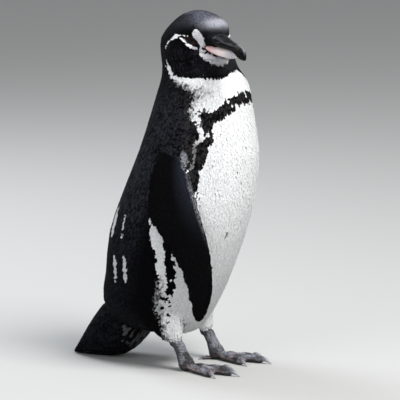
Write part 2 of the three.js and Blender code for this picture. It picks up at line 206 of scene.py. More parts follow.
def outward(points, tris):
    """A closed body's triangles, turned if need be to face out."""
    a, b, c = (points[tris[:, k]] - points.mean(0) for k in range(3))
    inside_out = np.einsum("ij,ij->i", a, np.cross(b, c)).sum() < 0
    return tris[:, ::-1] if inside_out else tris


def sheet_faces(rows, around):
    """Quads over rows of points that run around, as two triangles each."""
    i, j = np.meshgrid(np.arange(rows - 1), np.arange(around), indexing="ij")
    k = (j + 1) % around
    a, b, c, d = (i * around + j, i * around + k, (i + 1) * around + k, (i + 1) * around + j)
    a, b, c, d = (x.ravel() for x in (a, b, c, d))
    return np.concatenate([np.stack([a, b, c], axis=1), np.stack([a, c, d], axis=1)])


def closed_tube(rings):
    """Rings of points, first and last drawn to a point, as one closed body."""
    rows, around, _ = rings.shape
    points = np.concatenate([rings.reshape(-1, 3), rings[0].mean(0)[None], rings[-1].mean(0)[None]])
    ends = []
    last = (rows - 1) * around
    for j in range(around):
        k = (j + 1) % around
        ends.append((k, j, rows * around))
        ends.append((last + j, last + k, rows * around + 1))
    return points, outward(points, np.concatenate([sheet_faces(rows, around), np.array(ends)]))


def ball_rings(polar, reach, around):
    """Rings of a ball's points, by angle from its pole and reach from its middle."""
    turn = np.arange(around) / around * 2 * math.pi
    out, up = (reach * np.sin(polar))[:, None], (reach * np.cos(polar))[:, None]
    return np.stack([out * np.cos(turn), out * np.sin(turn), np.repeat(up, around, axis=1)], axis=2)


# ---- Camera, light and floor ---------------------------------------------------------------------
CAMERA_TURN, CAMERA_RISE = math.radians(-62), math.radians(9)
CAMERA_TARGET = Vector((0.00038, -0.03096, 0.1595))
CAMERA_DISTANCE = 3.0
CAMERA_LENS = 284.2
# Soft lights: metres to the camera's right, towards it and up, then width, watts and colour.
SOFTBOXES = {
    "key": ((0.9, 0.9, 1.5), 1.1, 60, (1, 0.99, 0.975)),
    "fill": ((-1.3, 1.6, 0.5), 1.6, 14, (0.94, 0.97, 1)),
    "back": ((-1.0, -1.0, 1.2), 0.9, 20, (0.9, 0.95, 1)),
}
SKY = (0.86, 0.88, 0.9, 1)
FLOOR_HALF, FLOOR_GREY = 8e3, (0.44, 0.44, 0.435, 1)


def make_camera(sight):
    data = bpy.data.cameras.new("camera")
    data.lens = CAMERA_LENS
    data.sensor_width = 36
    data.clip_end = 50
    camera = bpy.data.objects.new("camera", data)
    camera.location = CAMERA_TARGET + sight * CAMERA_DISTANCE
    camera.rotation_euler = (-sight).to_track_quat("-Z", "Y").to_euler()
    bpy.context.collection.objects.link(camera)
    bpy.context.scene.camera = camera


def make_lights(sight, right):
    for name, ((rightward, nearer, up), size, power, colour) in SOFTBOXES.items():
        place = right * rightward + sight * nearer + Vector((0, 0, up))
        light = bpy.data.lights.new(name, "AREA")
        light.shape = "DISK"
        light.size = size
        light.energy = power
        light.color = colour
        lamp = bpy.data.objects.new(name, light)
        lamp.location = CAMERA_TARGET + place
        lamp.rotation_euler = place.to_track_quat("Z", "Y").to_euler()
        lamp.visible_glossy = name != "fill"  # the fill would be a broad disc in the eye
        bpy.context.collection.objects.link(lamp)


def make_stage():
    sight = Vector((math.sin(CAMERA_TURN) * math.cos(CAMERA_RISE),
                    -math.cos(CAMERA_TURN) * math.cos(CAMERA_RISE), math.sin(CAMERA_RISE)))
    make_camera(sight)
    make_lights(sight, Vector((math.cos(CAMERA_TURN), math.sin(CAMERA_TURN), 0)))
    world = bpy.data.worlds.new("studio")
    world.use_nodes = True
    background = world.node_tree.nodes["Background"]
    background.inputs["Color"].default_value = SKY
    background.inputs["Strength"].default_value = 0.5
    bpy.context.scene.world = world
    bpy.context.scene.view_settings.view_transform = "Standard"
    corners = np.array([(-1, -1, 0), (1, -1, 0), (1, 1, 0), (-1, 1, 0)]) * FLOOR_HALF
    floor = new_object("floor", corners, np.array([(0, 1, 2, 3)]))
    paper, shader = new_material("floor_paper")
    shader.inputs["Base Color"].default_value = FLOOR_GREY
    shader.inputs["Roughness"].default_value = 0.9
    floor.data.materials.append(paper)


# ---- Markings ------------------------------------------------------------------------------------
# Linear colours of the feathers' tips.
BLACK = (0.0024, 0.0024, 0.0030)
SLATE = (0.038, 0.041, 0.053)  # the back
# Grey on the crown: partly its own tone and partly a painted sheen.
CROWN_GREY_AND_SHEEN = (0.120, 0.126, 0.162)
BROW_HIGHLIGHT = (0.44, 0.45, 0.51)  # a painted highlight on the forehead, brightest on its left side
# Shares of the last two on the head, in degrees round from the bill and degrees of rise.
CROWN_GREY_AND_SHEEN_SHARE = ((0, 0.85), (22, 0.75), (35, 0.45), (49, 0.22), (70, 0.12), (100, 0.06), (180, 0.05))
BROW_HIGHLIGHT_ROUND = ((-70, 0.4), (-41, 0.7), (-24, 1), (-13, 1), (-5, 0.9), (2, 0.75), (8, 0.55), (15, 0.28),
              (22, 0.14), (30, 0))
BROW_HIGHLIGHT_RISE = ((18, 0.04), (22, 0.14), (25, 0.38), (29, 0.8), (34, 1), (38, 0.92), (42, 0.55), (47, 0.15),
             (52, 0))
CHEEK = (0.036, 0.036, 0.044)
FLIPPER_BLACK, FLIPPER_SHEEN = (0.0030, 0.0030, 0.0036), (0.022, 0.026, 0.038)
# The last is a painted highlight along the flippers' leading edges and on their shoulders.
FLIPPER_HIGHLIGHT = (0.30, 0.31, 0.34)
BAND_BROWN = (0.048, 0.044, 0.044)
WHITE = (0.83, 0.835, 0.845)
LORE = (0.40, 0.395, 0.42)
UNDER_DOWN = (0.62, 0.62, 0.63)  # the skin under white feathers

# The body's axis: height and how far ahead it lies.
AXIS = ((29, -13), (60, -26), (87, -18), (127, -8), (166, 4.5), (206, 15), (240, 18.5), (262, 20),
        (276, 19.5), (288, 15), (300, 12), (340, 14))
NECK_TURN = ((262, 0), (276, 6), (288, 22), (300, 33))  # by height, in degrees

# Borders on one side of the body as height and degrees round from the middle of the front: the
# white belly ends at the inner one, the dark breast band at the outer one, and the white stripe at
# the back one, where the dark back begins.
BAND_INNER = ((66, 58.5), (78, 56), (86, 54.5), (94, 56.5), (102, 58), (110, 62.5), (118, 64.5), (127, 67),
              (135, 67), (150, 62), (174, 58.5), (184, 58), (194, 59), (200, 55.5), (210, 54.5), (216, 52),
              (222, 46.5), (228, 49), (232, 51), (238, 50), (240, 45), (242, 40), (245, 33), (248, 26),
              (250, 19), (252.5, 9), (253.5, 0))
BAND_OUTER = ((66, 59), (73, 61), (86, 63.5), (94, 66.5), (102, 66.5), (118, 70), (125, 74), (133, 77),
              (150, 80), (165, 79), (180, 75), (192, 70), (200, 65), (204.9, 64), (208.6, 65.5),
              (213, 67.7), (217.3, 66.7), (221, 62.5), (223.8, 57.7), (228, 60.1), (233.5, 62.3),
              (244.4, 64.4), (248, 62.5), (248.4, 53), (250, 47), (255, 39.6), (259.5, 34), (261.5, 26),
              (262.5, 19), (264.6, 10.6), (267, 0))
BACK_EDGE = ((30, 70), (38, 67), (45, 65.5), (62, 64.5), (70, 66), (78, 67), (86, 69), (95, 72),
             (102, 75.5), (118, 80), (125, 84), (138, 90), (147, 92), (160, 88), (180, 79), (192, 73),
             (200.3, 67.5), (204.9, 66.5), (208.5, 67.8), (213.1, 70.2), (217.7, 69.8), (221.9, 66.7),
             (225.2, 63), (227.9, 64.3), (233.4, 67.1), (238.9, 71.1), (242, 74.5), (246, 75.5),
             (249.6, 78.5), (253, 75), (257, 75.5), (260, 66), (264, 66), (268, 64), (271, 74), (273.5, 86),
             (275, 94), (277, 105), (285, 115))
BAND_HEIGHTS = (66, 266)
COLLAR_FROM = 262  # above this height the cheeks' lower edge bounds the white
STRIPE_FROM, STRIPE_GREY = 195, (226, 216)  # the stripe is white above, and grey below
# How many degrees to each side of its border the back fades, in fine speckles.
BACK_FADE = ((40, 5), (70, 6), (86, 4), (100, 1.2), (236, 1.2), (244, 4), (250, 6), (257, 6), (262, 13),
             (268, 18), (271, 24), (274, 12), (279, 8))
# White holes in the band and dark dots outside it: degrees, height, radius in mm.
BAND_HOLES = ((19, 251.5, 3.2), (10, 252.5, 3.0), (26, 253, 1.6), (55, 228, 2.6), (60, 88, 1.5),
              (31, 257, 1.5))
BELLY_DOTS = ((46.8, 260.8, 1.1), (64.7, 254.5, 1.5), (67.7, 249, 1.6), (70, 240, 1.6), (53.9, 168.4, 1.5),
              (63.5, 70.5, 1.9), (57.5, 54, 2.4), (61, 61, 1.5), (55, 63, 1.5), (60, 46, 1.6))
BELLY_MARK = ((18.6, 132.4, 2.4), (18.8, 130.6, 2.5), (19.0, 128.6, 2.3))  # grey, on the right only
SHOULDER_HIGHLIGHT = ((78, 209.5, 2.8), (76.5, 206, 3.4), (74.5, 202, 2.8), (73, 198, 1.8))  # a painted highlight on the flipper's shoulder
# Ragged white marks on the rump: degrees, height, half height and half width in mm.
RUMP_MARKS = ((141, 138, 15, 5.0), (121.5, 96, 15, 2.6), (107, 96, 15, 2.6), (120, 135, 14, 0.6))

# White marks of the head, as degrees round from the bill, degrees of rise and half width in
# degrees, seen from a point inside the head: the face line from the eye over the brow's patch and
# down behind the cheek, the line under the eye, the patch before the eye, and the chin's.
FACE_LINE = ((41, 17.9, 0), (49, 18.9, 0.2), (56, 20, 0.8), (60, 19.2, 2.6), (67, 17.7, 4.2),
             (73, 14.3, 2.9), (78, 10, 1.5), (84, 5.6, 1.1), (89, 0.2, 0.8), (91.5, -9, -0.6),
             (92, -20, -0.4), (88, -26, 1.1), (82.5, -32, 2.0), (76, -36.3, 2.4), (68, -40, 2.0))
EYE_LINE = ((58, 15.6, 0.6), (53, 14, 1.3), (48.4, 10.5, 2.0), (44, 6.4, 2.3), (39, 2.8, 2.3),
            (33, 0.3, 2.1), (27, -1.6, 1.5))
LORE_PATCH = ((28.5, 24.3, 3.0), (27, 20.5, 5.6), (23.5, 15.5, 5.6), (20, 9, 4.8), (17.5, 4, 3.6))
FAR_LORE_TOP = 15  # the left side's patch starts lower
CHIN_PATCH = ((20.5, -8.5, 2.8), (17, -11.3, 3.6), (12, -11.4, 3.8), (8, -12.6, 4.6), (2, -14.2, 7.0),
              (-5, -15, 7.6), (-12, -14.5, 6.4), (-20, -14, 3))
JAW_SPOT = ((21, 2, 1.8), (21.5, -3.8, 1.6), (17, -4.8, 1.6))
# The black cheeks' lower edge, on the right side positive, and the white collar's outer edge behind.
CHEEK_EDGE = ((-84, -33), (-76, -36.5), (-66, -37.5), (-54, -35.5), (-44, -31), (-34, -27.5), (-24, -27),
              (-14, -29), (-6, -31), (2, -32.5), (11, -33.5), (22, -34), (32, -35.7), (47, -37.8),
              (60, -39.2), (68, -38.9), (76, -36.5), (84, -33))
COLLAR_EDGE = ((56, -90), (60, -42), (65, -41.8), (73, -40), (80, -37.7), (94, -33), (104, -25))


def round_body(bird):
    """Degrees round the body to the right of the middle of its front, -180 to 180, and the radius.

    The middle of the front turns with the head above the shoulders."""
    ahead = bird[:, 1] - between(AXIS, bird[:, 2])
    to_right = np.degrees(np.arctan2(-bird[:, 0], ahead))
    turn = between(NECK_TURN, bird[:, 2])
    return (to_right - turn + 180) % 360 - 180, np.hypot(bird[:, 0], ahead)


def round_head(bird):
    """Degrees round from the bill, to the right, and degrees of rise."""
    local = to_head(bird)
    ahead, side, up = local[:, 0] + 28, -local[:, 1], local[:, 2] + 6
    return np.degrees(np.arctan2(side, ahead)), np.degrees(np.arctan2(up, np.hypot(ahead, side)))


def inside_line(side, rise, line):
    """How far inside a line with half widths each point lies, in degrees; below 0 is outside."""
    inside = np.full(len(side), -99.0)
    for p, q in zip(line[:-1], line[1:]):
        shrink = math.cos(math.radians((p[1] + q[1]) / 2))
        dx, dy = (q[0] - p[0]) * shrink, q[1] - p[1]
        x, y = (side - p[0]) * shrink, rise - p[1]
        t = np.clip((x * dx + y * dy) / (dx * dx + dy * dy), 0, 1)
        gap = np.hypot(x - t * dx, y - t * dy)
        inside = np.maximum(inside, p[2] + (q[2] - p[2]) * t - gap)
    return inside


def inside_dots(angle, radius, z, dots):
    """How far inside any of the dots each point lies, in mm."""
    inside = np.full(len(angle), -99.0)
    for degrees, height, size in dots:
        across = np.radians(angle - degrees) * radius
        inside = np.maximum(inside, size - np.hypot(across, z - height))
    return inside


def body_darkness(bird):
    """1 where the body's plumage is dark and 0 where it is white."""
    signed, radius = round_body(bird)
    angle, z = np.abs(signed), bird[:, 2]
    degree = np.degrees(1 / np.maximum(radius, 12))  # degrees to a millimetre
    ragged = 1.3 * wander(bird, 3.1, 1) + 1.2 * wander(bird, 7.0, 2)
    torn = (0.7 * ragged + 1.4 * wander(bird, 1.8, 21)) * step(134, 120, z)
    shifted = angle + (ragged + torn) * degree
    height = z + 0.9 * wander(bird, 3.4, 3)
    inner, outer, back = (between(t, height) for t in (BAND_INNER, BAND_OUTER, BACK_EDGE))
    in_band = (shifted > inner) & (shifted < outer)
    in_band &= (height > BAND_HEIGHTS[0]) & (height < BAND_HEIGHTS[1])
    in_band &= inside_dots(angle, radius, z, BAND_HOLES) < 0.6 * ragged
    dots = inside_dots(angle, radius, z, BELLY_DOTS) > 0.5 * np.abs(ragged)
    back = back - (signed < 0) * (9 * step(236, 248, z) + 22 * step(266, 274, z))
    fade = between(BACK_FADE, z)
    past = angle - back
    flecks = 0.5 * wander(bird, 1.0, 5) + 0.25 * wander(bird, 3.0, 14)
    flecks = flecks * step(0.9, 0.2, np.abs(past) / fade / 2)
    on_back = np.clip(0.5 + 0.5 * (past + ragged * degree * step(4, 2, fade)) / fade + flecks, 0, 1)
    on_back = np.where(fade < 3, np.round(on_back), on_back)
    # The stripe between the band and the back is broken in places.
    stripe = (angle > (inner + outer) / 2) & (z > STRIPE_FROM)
    on_back = np.where(stripe, np.maximum(on_back, 0.8 * step(*STRIPE_GREY, z)), on_back)
    broken = wander(bird, 1.7, 18) + 0.4 * wander(bird, 0.9, 19) > 0.42
    on_back = np.where(stripe & broken & (z < 252), np.maximum(on_back, 0.9), on_back)
    dark = np.where(in_band | dots, 1.0, on_back)
    mark = inside_dots(angle, radius, z, BELLY_MARK) * (signed > 0)
    dark = np.where(mark > 0, np.maximum(dark, 0.72 * step(0, 1.2, mark)), dark)
    dark = np.where((z > COLLAR_FROM) & (angle < 80) & above_cheek_edge(bird), 1.0, dark)
    for degrees, middle, half, width in RUMP_MARKS:
        across = np.abs(np.radians(angle - degrees - 0.25 * (z - middle)) * radius)
        along = np.abs(z - middle) / half
        mark = width * (1 - along**2) - across + 1.3 * wander(bird, 2.4, 6) + 0.9 * wander(bird, 1.1, 17)
        dark = np.where((mark > 0) & (along < 1), 0.25, dark)
    return dark


def head_jag(bird):
    """How far the borders of the head's markings stray, about -2 to 2 degrees."""
    return 1.1 * wander(bird, 2.0, 7) + 0.9 * wander(bird, 4.5, 8)


def above_cheek_edge(bird):
    around, rise = round_head(bird)
    return rise > between(CHEEK_EDGE, around) + 0.7 * head_jag(bird)


def head_darkness(bird):
    """1 where the head's plumage is dark and 0 where it is white."""
    around, rise = round_head(bird)
    side, jag = np.abs(around), head_jag(bird)
    white = inside_line(side, rise, FACE_LINE) > 0.35 * jag - 0.1
    white |= inside_line(side, rise, EYE_LINE) > 0.15 * jag - 0.1
    white |= (inside_line(side, rise, LORE_PATCH) > 0.6 * jag) & ((around > 0) | (rise < FAR_LORE_TOP))
    chin = inside_line(around, rise, CHIN_PATCH)
    chin = np.where(around < 0, np.maximum(chin, inside_line(-around, rise, CHIN_PATCH)), chin)
    wisp = wander(bird * [1, 1, 0.3], 1.1, 13)
    white |= chin > (1.1 * jag + 3.2 * wisp) * step(18, 4, around)
    white |= inside_line(side, rise, JAW_SPOT) > 0.4 * jag
    collar = (rise > between(COLLAR_EDGE, side) + jag) & (side < np.where(around > 0, 104, 84))
    white |= ~above_cheek_edge(bird) & collar
    return np.where(white, 0.0, 1.0)


# ---- Bill ----------------------------------------------------------------------------------------
# Rows ahead of the eyes: top and bottom against the eyes' height, and half width.
BILL_UPPER = ((4, 9.2, -2.8, 9.6), (12, 9, -3.4, 9.3), (20, 8.4, -4.2, 8.8), (31, 5.3, -5, 7.4),
              (43, 2.3, -5.7, 5.8), (50, 1.2, -6.8, 5), (56, 0.2, -10.6, 4.3), (59, -0.4, -12.3, 3.9),
              (62, -1.2, -13, 3.4), (66.5, -4.2, -13.3, 2.2), (68.2, -7.8, -12.8, 1.2),
              (68.8, -10, -12, 0.5))
BILL_LOWER = ((4, -3.2, -7.0, 9.2), (12, -3.7, -10.6, 8.6), (20, -4.4, -12.7, 8), (36, -5.4, -13.8, 6.1),
              (47, -6.2, -13.1, 4.2), (52, -7.4, -11.6, 2.3), (53.4, -8.2, -10.6, 1))
BILL_BLACK = (0.0028, 0.0026, 0.0030)
BILL_GREY = (0.013, 0.013, 0.016)
BILL_PINK = (0.88, 0.53, 0.53)
BILL_CREAM = (0.86, 0.74, 0.71)
# The first is a painted highlight along the upper bill's ridge, near the hook.
BILL_RIDGE_HIGHLIGHT, BILL_FLANK = (0.26, 0.26, 0.29), (0.022, 0.022, 0.027)
# The second is painted shade along the lower bill's underside.
BILL_TIP, BILL_UNDER_SHADE = (0.44, 0.44, 0.50), (0.03, 0.025, 0.025)
# Grooves: how far ahead and up, half length, half height, slope and depth.
NOSTRIL = (27, 1.6, 3.6, 0.8, -0.16, 1.7)
UPPER_GROOVE = (42, -1.2, 15, 0.5, -0.13, 0.5)  # from the nostril to the hook
LOWER_GROOVE = (30, -10.2, 17, 0.45, 0.03, 0.4)
FEATHERED = 20  # the upper bill's flanks are feathered this far ahead of the eyes


def smooth_rows(rows, stations):
    """The rows' columns at many stations, on a smooth curve that doesn't overshoot."""
    rows = np.array(rows, dtype=float)
    x, y = rows[:, 0], rows[:, 1:]
    slope = (y[1:] - y[:-1]) / (x[1:] - x[:-1])[:, None]
    tangent = np.vstack([slope[:1], (slope[1:] + slope[:-1]) / 2, slope[-1:]])
    tangent[1:-1][slope[1:] * slope[:-1] <= 0] = 0
    limit = 3 * np.minimum(np.abs(slope[1:]), np.abs(slope[:-1]))
    tangent[1:-1] = np.clip(tangent[1:-1], -limit, limit)
    at = np.linspace(x[0], x[-1], stations)
    k = np.clip(np.searchsorted(x, at, side="right") - 1, 0, len(x) - 2)
    width = (x[k + 1] - x[k])[:, None]
    t = ((at - x[k]) / width[:, 0])[:, None]
    made = ((2 * t**3 - 3 * t**2 + 1) * y[k] + (t**3 - 2 * t**2 + t) * width * tangent[k]
            + (-2 * t**3 + 3 * t**2) * y[k + 1] + (t**3 - t**2) * width * tangent[k + 1])
    return at, made


def bill_half(rows, stations, around, upper, grow=0.0, tuck=0.0):
    """One half of the bill as rings in the head's frame.

    tuck draws its feathered base in, to lie under the feathers."""
    at, made = smooth_rows(rows, stations)
    grow = grow - tuck * step(FEATHERED + 5, FEATHERED - 4, at)[:, None]
    angle = np.arange(around) / around * 2 * math.pi
    top, bottom, width = made.T[:, :, None]
    top, bottom, width = top + grow, bottom - grow, width + grow
    c, s = np.cos(angle), np.sin(angle)
    # The upper half narrows to a ridge at the top, and the lower half to a keel below.
    ridge = np.clip(c if upper else -c, 0, 1)
    side = width * s * (1 - 0.30 * ridge**2)
    up = (top + bottom) / 2 + (top - bottom) / 2 * np.sign(c) * np.abs(c) ** 0.85
    return np.stack([np.broadcast_to(at[:, None], side.shape), side, up], axis=2)


def dent(points, middle, rise, length, height, slope, depth):
    """Pushes a groove into both sides of the bill."""
    ahead, side, up = points[..., 0], points[..., 1], points[..., 2]
    x = ahead - middle
    y = up - rise - slope * x
    push = depth * np.exp(-((x / length) ** 4) - (y / height) ** 2)
    points[..., 1] = side - np.sign(side) * np.minimum(push, np.abs(side))


def make_upper_bill():
    rings = bill_half(BILL_UPPER, 90, 48, True, tuck=1.9)
    dent(rings, *NOSTRIL)
    dent(rings, *UPPER_GROOVE)
    points, tris = closed_tube(rings)
    rough = step(10, 16, points[:, 0]) * step(38, 30, points[:, 0])
    lumps = 0.22 * wander(points, 1.8, 31) * rough + 0.07 * wander(points, 0.9, 32)
    points = points + lumps[:, None] * vertex_normals(points, tris)
    placed = from_head(points)
    upper = new_object("upper_bill", placed, outward(placed, tris))
    ahead, side, up = points.T
    grey = rough * step(-3.5, 1.5, up) * (0.4 + 0.6 * wander(points, 2.0, 33))
    colour = mix(BILL_BLACK, BILL_GREY, np.clip(grey, 0, 1))
    # A painted highlight along the ridge, near the hook.
    ridge_highlight = step(50, 58, ahead) * step(68.5, 66, ahead) * step(1.5, 0.5, np.abs(side)) * (up > -8)
    colour = mix(colour, BILL_RIDGE_HIGHLIGHT, 0.7 * ridge_highlight)
    flank = step(30, 42, ahead) * np.clip(wander(points * [0.25, 1, 1], 1.4, 34), 0, 1)
    paint(upper.data, "tint", mix(colour, BILL_FLANK, 0.6 * flank))
    return upper


def make_lower_bill():
    rings = bill_half(BILL_LOWER, 70, 40, False)
    dent(rings, *LOWER_GROOVE)
    points, tris = closed_tube(rings)
    placed = from_head(points)
    lower = new_object("lower_bill", placed, outward(placed, tris))
    ahead, _, up = points.T
    colour = mix(BILL_PINK, BILL_CREAM, step(14, 30, ahead))
    colour = mix(colour, BILL_TIP, 0.8 * step(32, 50, ahead))
    streak = np.clip(wander(points * [0.2, 1, 1], 1.6, 35), 0, 1)
    colour = colour * (1 - 0.16 * streak[:, None])
    # Painted shade along the lower bill's underside.
    below = step(-11.9, -13.2, up) * step(40, 30, ahead)
    paint(lower.data, "tint", mix(colour, BILL_UNDER_SHADE, 0.85 * below))
    return lower


def make_bill():
    upper, lower = make_upper_bill(), make_lower_bill()
    horn = bill_material()
    for obj, node, slot in ((upper, "bill_upper", "bill_dark"), (lower, "bill_lower", "bill_pale")):
        obj.data.materials.append(horn)
        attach(obj, "root")
        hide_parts(node)


# ---- Eyes ----------------------------------------------------------------------------------------
EYE_RADIUS = 7.2
EYE_OPENING = (-0.25, 19.6, 0.1)  # the middle of the opening, on the coat's surface
EYE_FACING = (0.65, 0.75, 0.1)
EYE_PROUD = 0.2  # how far the eye's front stands over the coat
LIDS = (5.9, 2.5, 2.9)  # half length, height above and height below of the opening
LID_TILT = math.radians(-13)  # its front corner is the lower one
EYE_ROWS, EYE_AROUND, EYE_BACK = 28, 48, math.radians(100)
CORNEA_RISE, CORNEA_REACH = 0.35, 0.45
PUPIL, IRIS, IRIS_RIM = (0.001, 0.001, 0.001), (0.006, 0.0025, 0.0018), (0.002, 0.0014, 0.0012)
PUPIL_EDGE, IRIS_EDGE = (2.4, 2.7), (3.4, 4.6)  # from the eye's axis


class EyeFrame:
    """Axes at the middle of an eye's opening: x towards the bill, y up, out of the head last."""

    def __init__(self, sign):
        mirror = np.array([1, sign, 1])
        out = unit(np.array(EYE_FACING) * mirror)
        x = unit(np.cross(out, [0, 0, 1]) * sign)
        y = np.cross(x, out) * sign
        y = y if y[2] > 0 else -y
        x = x if x[0] > 0 else -x
        self.origin = from_head(np.array(EYE_OPENING) * mirror)
        self.axes = turned_head(np.stack([x, y, out]))

    def place(self, local):
        return self.origin + local @ self.axes

    def local(self, bird):
        return (bird - self.origin) @ self.axes.T


EYE_FRAMES = {side: EyeFrame(sign) for side, sign in SIDES}


def ball_rise(distance):
    """How high the eyeball stands over the opening's middle, at a distance from its axis."""
    inside = np.minimum(distance, EYE_RADIUS * 0.98)
    return EYE_PROUD - EYE_RADIUS + np.sqrt(EYE_RADIUS**2 - inside**2)


def beyond_lids(x, y):
    """How far outside the opening a point of the eye's frame lies, in mm."""
    c, s = math.cos(-LID_TILT), math.sin(-LID_TILT)
    along, across = x * c - y * s, x * s + y * c
    half, above, below = LIDS
    share = np.hypot(along / half, across / np.where(across > 0, above, below))
    return np.hypot(x, y) * (1 - 1 / np.maximum(share, 1e-6))


# Rows of a lid, from under the ball's edge out into the skin: how far out, how far over the ball,
# how far over the skin, and how much of its height it takes from the skin.
LID_ROWS = ((-0.7, -0.5, 0, 0), (-0.25, -0.12, 0, 0), (0, 0.1, 0, 0), (0.22, 0.2, 0, 0),
            (0.5, 0.18, 0.6, 0.1), (0.8, 0.02, 0.6, 0.25), (1.15, 0.2, 0.75, 0.45), (1.6, 0, 0.5, 0.8),
            (2.2, 0, 0.1, 1), (3.0, 0, -0.5, 1))
LID_POINTS = 72


def lid_ring(side, skin_tree):
    """The lids of one eye as a ring-shaped sheet."""
    turn = np.arange(LID_POINTS) / LID_POINTS * 2 * math.pi
    half, above, below = LIDS
    c, s = np.cos(turn), np.sin(turn)
    height = np.where(s > 0, above, below)
    x, y = half * c, height * s * (1 - 0.12 * c * c)
    normal = unit(np.stack([c / half, s / height], axis=1))
    c, s = math.cos(LID_TILT), math.sin(LID_TILT)
    eye = EYE_FRAMES[side]
    rows = []
    for out, over_ball, over_skin, skin_share in LID_ROWS:
        u, v = x + out * normal[:, 0], y + out * normal[:, 1]
        u, v = u * c - v * s, u * s + v * c
        ball = ball_rise(np.hypot(u, v)) + over_ball
        above_skin = eye.place(np.stack([u, v, np.full(LID_POINTS, 9.0)], axis=1))
        hits = [skin_tree.ray_cast(p, -eye.axes[2])[0] for p in above_skin.tolist()]
        skin = eye.local(np.array([hit or place for hit, place in zip(hits, above_skin)]))[:, 2] + over_skin
        rows.append(np.stack([u, v, ball * (1 - skin_share) + skin * skin_share], axis=1))
    tris = sheet_faces(len(rows), LID_POINTS)
    placed = eye.place(np.concatenate(rows))
    normals = np.cross(placed[tris[:, 1]] - placed[tris[:, 0]], placed[tris[:, 2]] - placed[tris[:, 0]])
    if (normals @ eye.axes[2]).sum() < 0:
        tris = tris[:, ::-1]
    return placed, tris


def make_eyes():
    material = eye_material()
    polar = np.linspace(0.02, EYE_BACK, EYE_ROWS)
    reach = EYE_RADIUS - CORNEA_RISE + CORNEA_RISE * np.exp(-((polar / CORNEA_REACH) ** 4))
    points, tris = closed_tube(ball_rings(polar, reach, EYE_AROUND))
    away = np.hypot(points[:, 0], points[:, 1])
    turn = np.arctan2(points[:, 1], points[:, 0])
    spokes = wander(np.stack([turn * 9, away * 0.3, away * 0], axis=1), 1, 41)
    colour = mix(np.array(IRIS) * (1 + 0.4 * spokes[:, None]), IRIS_RIM, step(*IRIS_EDGE, away))
    colour = mix(PUPIL, colour, step(*PUPIL_EDGE, away))
    for side, _ in SIDES:
        placed = EYE_FRAMES[side].place(points + np.array([0, 0, EYE_PROUD - EYE_RADIUS]))
        ball = new_object("eyeball_" + side, placed, outward(placed, tris))
        paint(ball.data, "tint", colour)
        ball.data.materials.append(material)
        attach(ball, "root")
        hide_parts("eye_" + side)


# ---- Skin ----------------------------------------------------------------------------------------
BODY_FLESH = ("trunk", "neck", "head", "tail", "flipper_left", "flipper_right", "leg_left", "leg_right")
FOOT_FLESH = ("foot_left", "foot_right")
BODY_VOXEL, FOOT_VOXEL = 1.6, 0.55
GROWN = 0.35  # the nodes are grown this much before they are joined, to close the cuts between them
# By kind of coat: its depth over the skin, and the feathers' spacing, length and width.
COAT = {
    "trunk": (2.0, 1.22, 6.6, 2.5),
    "neck": (1.8, 1.1, 5.6, 2.3),
    "head": (1.2, 0.84, 3.7, 1.7),
    "tail": (1.6, 1.6, 9.0, 2.8),
    "flipper": (0.35, 0.95, 3.0, 1.6),
    "leg": (1.6, 1.15, 5.6, 2.3),
    "bare": (0.0, 1.2, 2.0, 1.2),
}
KINDS = tuple(COAT)
UNSHRINK = 0.52  # how much of each round of averaging is undone
# Filled under the skin at the bill's root: rows, whether of the upper half, kind of coat, how far
# ahead, and how much grown.
BILL_FILLS = ((BILL_UPPER, True, "head", 20, GROWN), (BILL_UPPER, True, "bare", 31, -0.3),
              (BILL_LOWER, False, "bare", 20, -0.3))


def remeshed(points, tris, voxel):
    """The outer surface of overlapping closed bodies, in even triangles."""
    rough = new_object("rough", points, tris)
    modifier = rough.modifiers.new("join", "REMESH")
    modifier.mode = "VOXEL"
    modifier.voxel_size = voxel / 1000
    depsgraph = bpy.context.evaluated_depsgraph_get()
    mesh = bpy.data.meshes.new_from_object(rough.evaluated_get(depsgraph))
    made = mesh_arrays(mesh)
    bpy.data.objects.remove(rough)
    bpy.data.meshes.remove(mesh)
    return made


def grown_node(node, grow):
    points, tris = mesh_arrays(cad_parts[node].data)
    _, first, same = np.unique(np.round(points, 3), axis=0, return_index=True, return_inverse=True)
    points, tris = points[first], same.reshape(-1)[tris]
    return points + grow * vertex_normals(points, tris), tris


def ball_at(centre, radius):
    points, tris = closed_tube(ball_rings(np.linspace(0.05, math.pi - 0.05, 16), 1.0, 24))
    return points * radius + centre, tris


class Skin:
    """Joined flesh: points, triangles, and at each point the kinds of coat and their measures."""

    def __init__(self, parts, voxel, rounds):
        """parts are (kind, points, tris)."""
        points, tris = joined([part[1:] for part in parts])
        kinds = np.concatenate([np.full(len(part[2]), KINDS.index(part[0])) for part in parts])
        self.points, self.tris = remeshed(points, tris, voxel)
        tree = BVHTree.FromPolygons(points.tolist(), tris.tolist())
        nearest = np.array([tree.find_nearest(p)[2] for p in self.points.tolist()])
        kind = kinds[nearest]
        self.edges = edges_of(self.tris)
        self.points = relax(self.points, self.edges, rounds, UNSHRINK)
        table = np.array([COAT[k] for k in KINDS])
        self.coat = relax(table[kind], self.edges, 6)
        self.share = relax(np.eye(len(KINDS))[kind], self.edges, 5)
        self.points = self.points - vertex_normals(self.points, self.tris) * (self.coat[:, :1] + GROWN)
        self.points = relax(self.points, self.edges, 2, UNSHRINK)

    def finish(self):
        self.normals = unit(relax(vertex_normals(self.points, self.tris), self.edges, 3))


def carve_sockets(skin):
    """Draws the skin in under each eye's opening, to below the eyeball's surface."""
    for eye in EYE_FRAMES.values():
        local = eye.local(skin.points)
        far = np.hypot(local[:, 0], local[:, 1])
        here = (far < 10) & (local[:, 2] > -9)
        deep = np.minimum(local[:, 2], ball_rise(far) - 1.0)
        carved = step(1.7, 0.3, beyond_lids(local[:, 0], local[:, 1]))
        local[:, 2] = np.where(here, local[:, 2] + (deep - local[:, 2]) * carved, local[:, 2])
        skin.points = np.where(here[:, None], eye.place(local), skin.points)


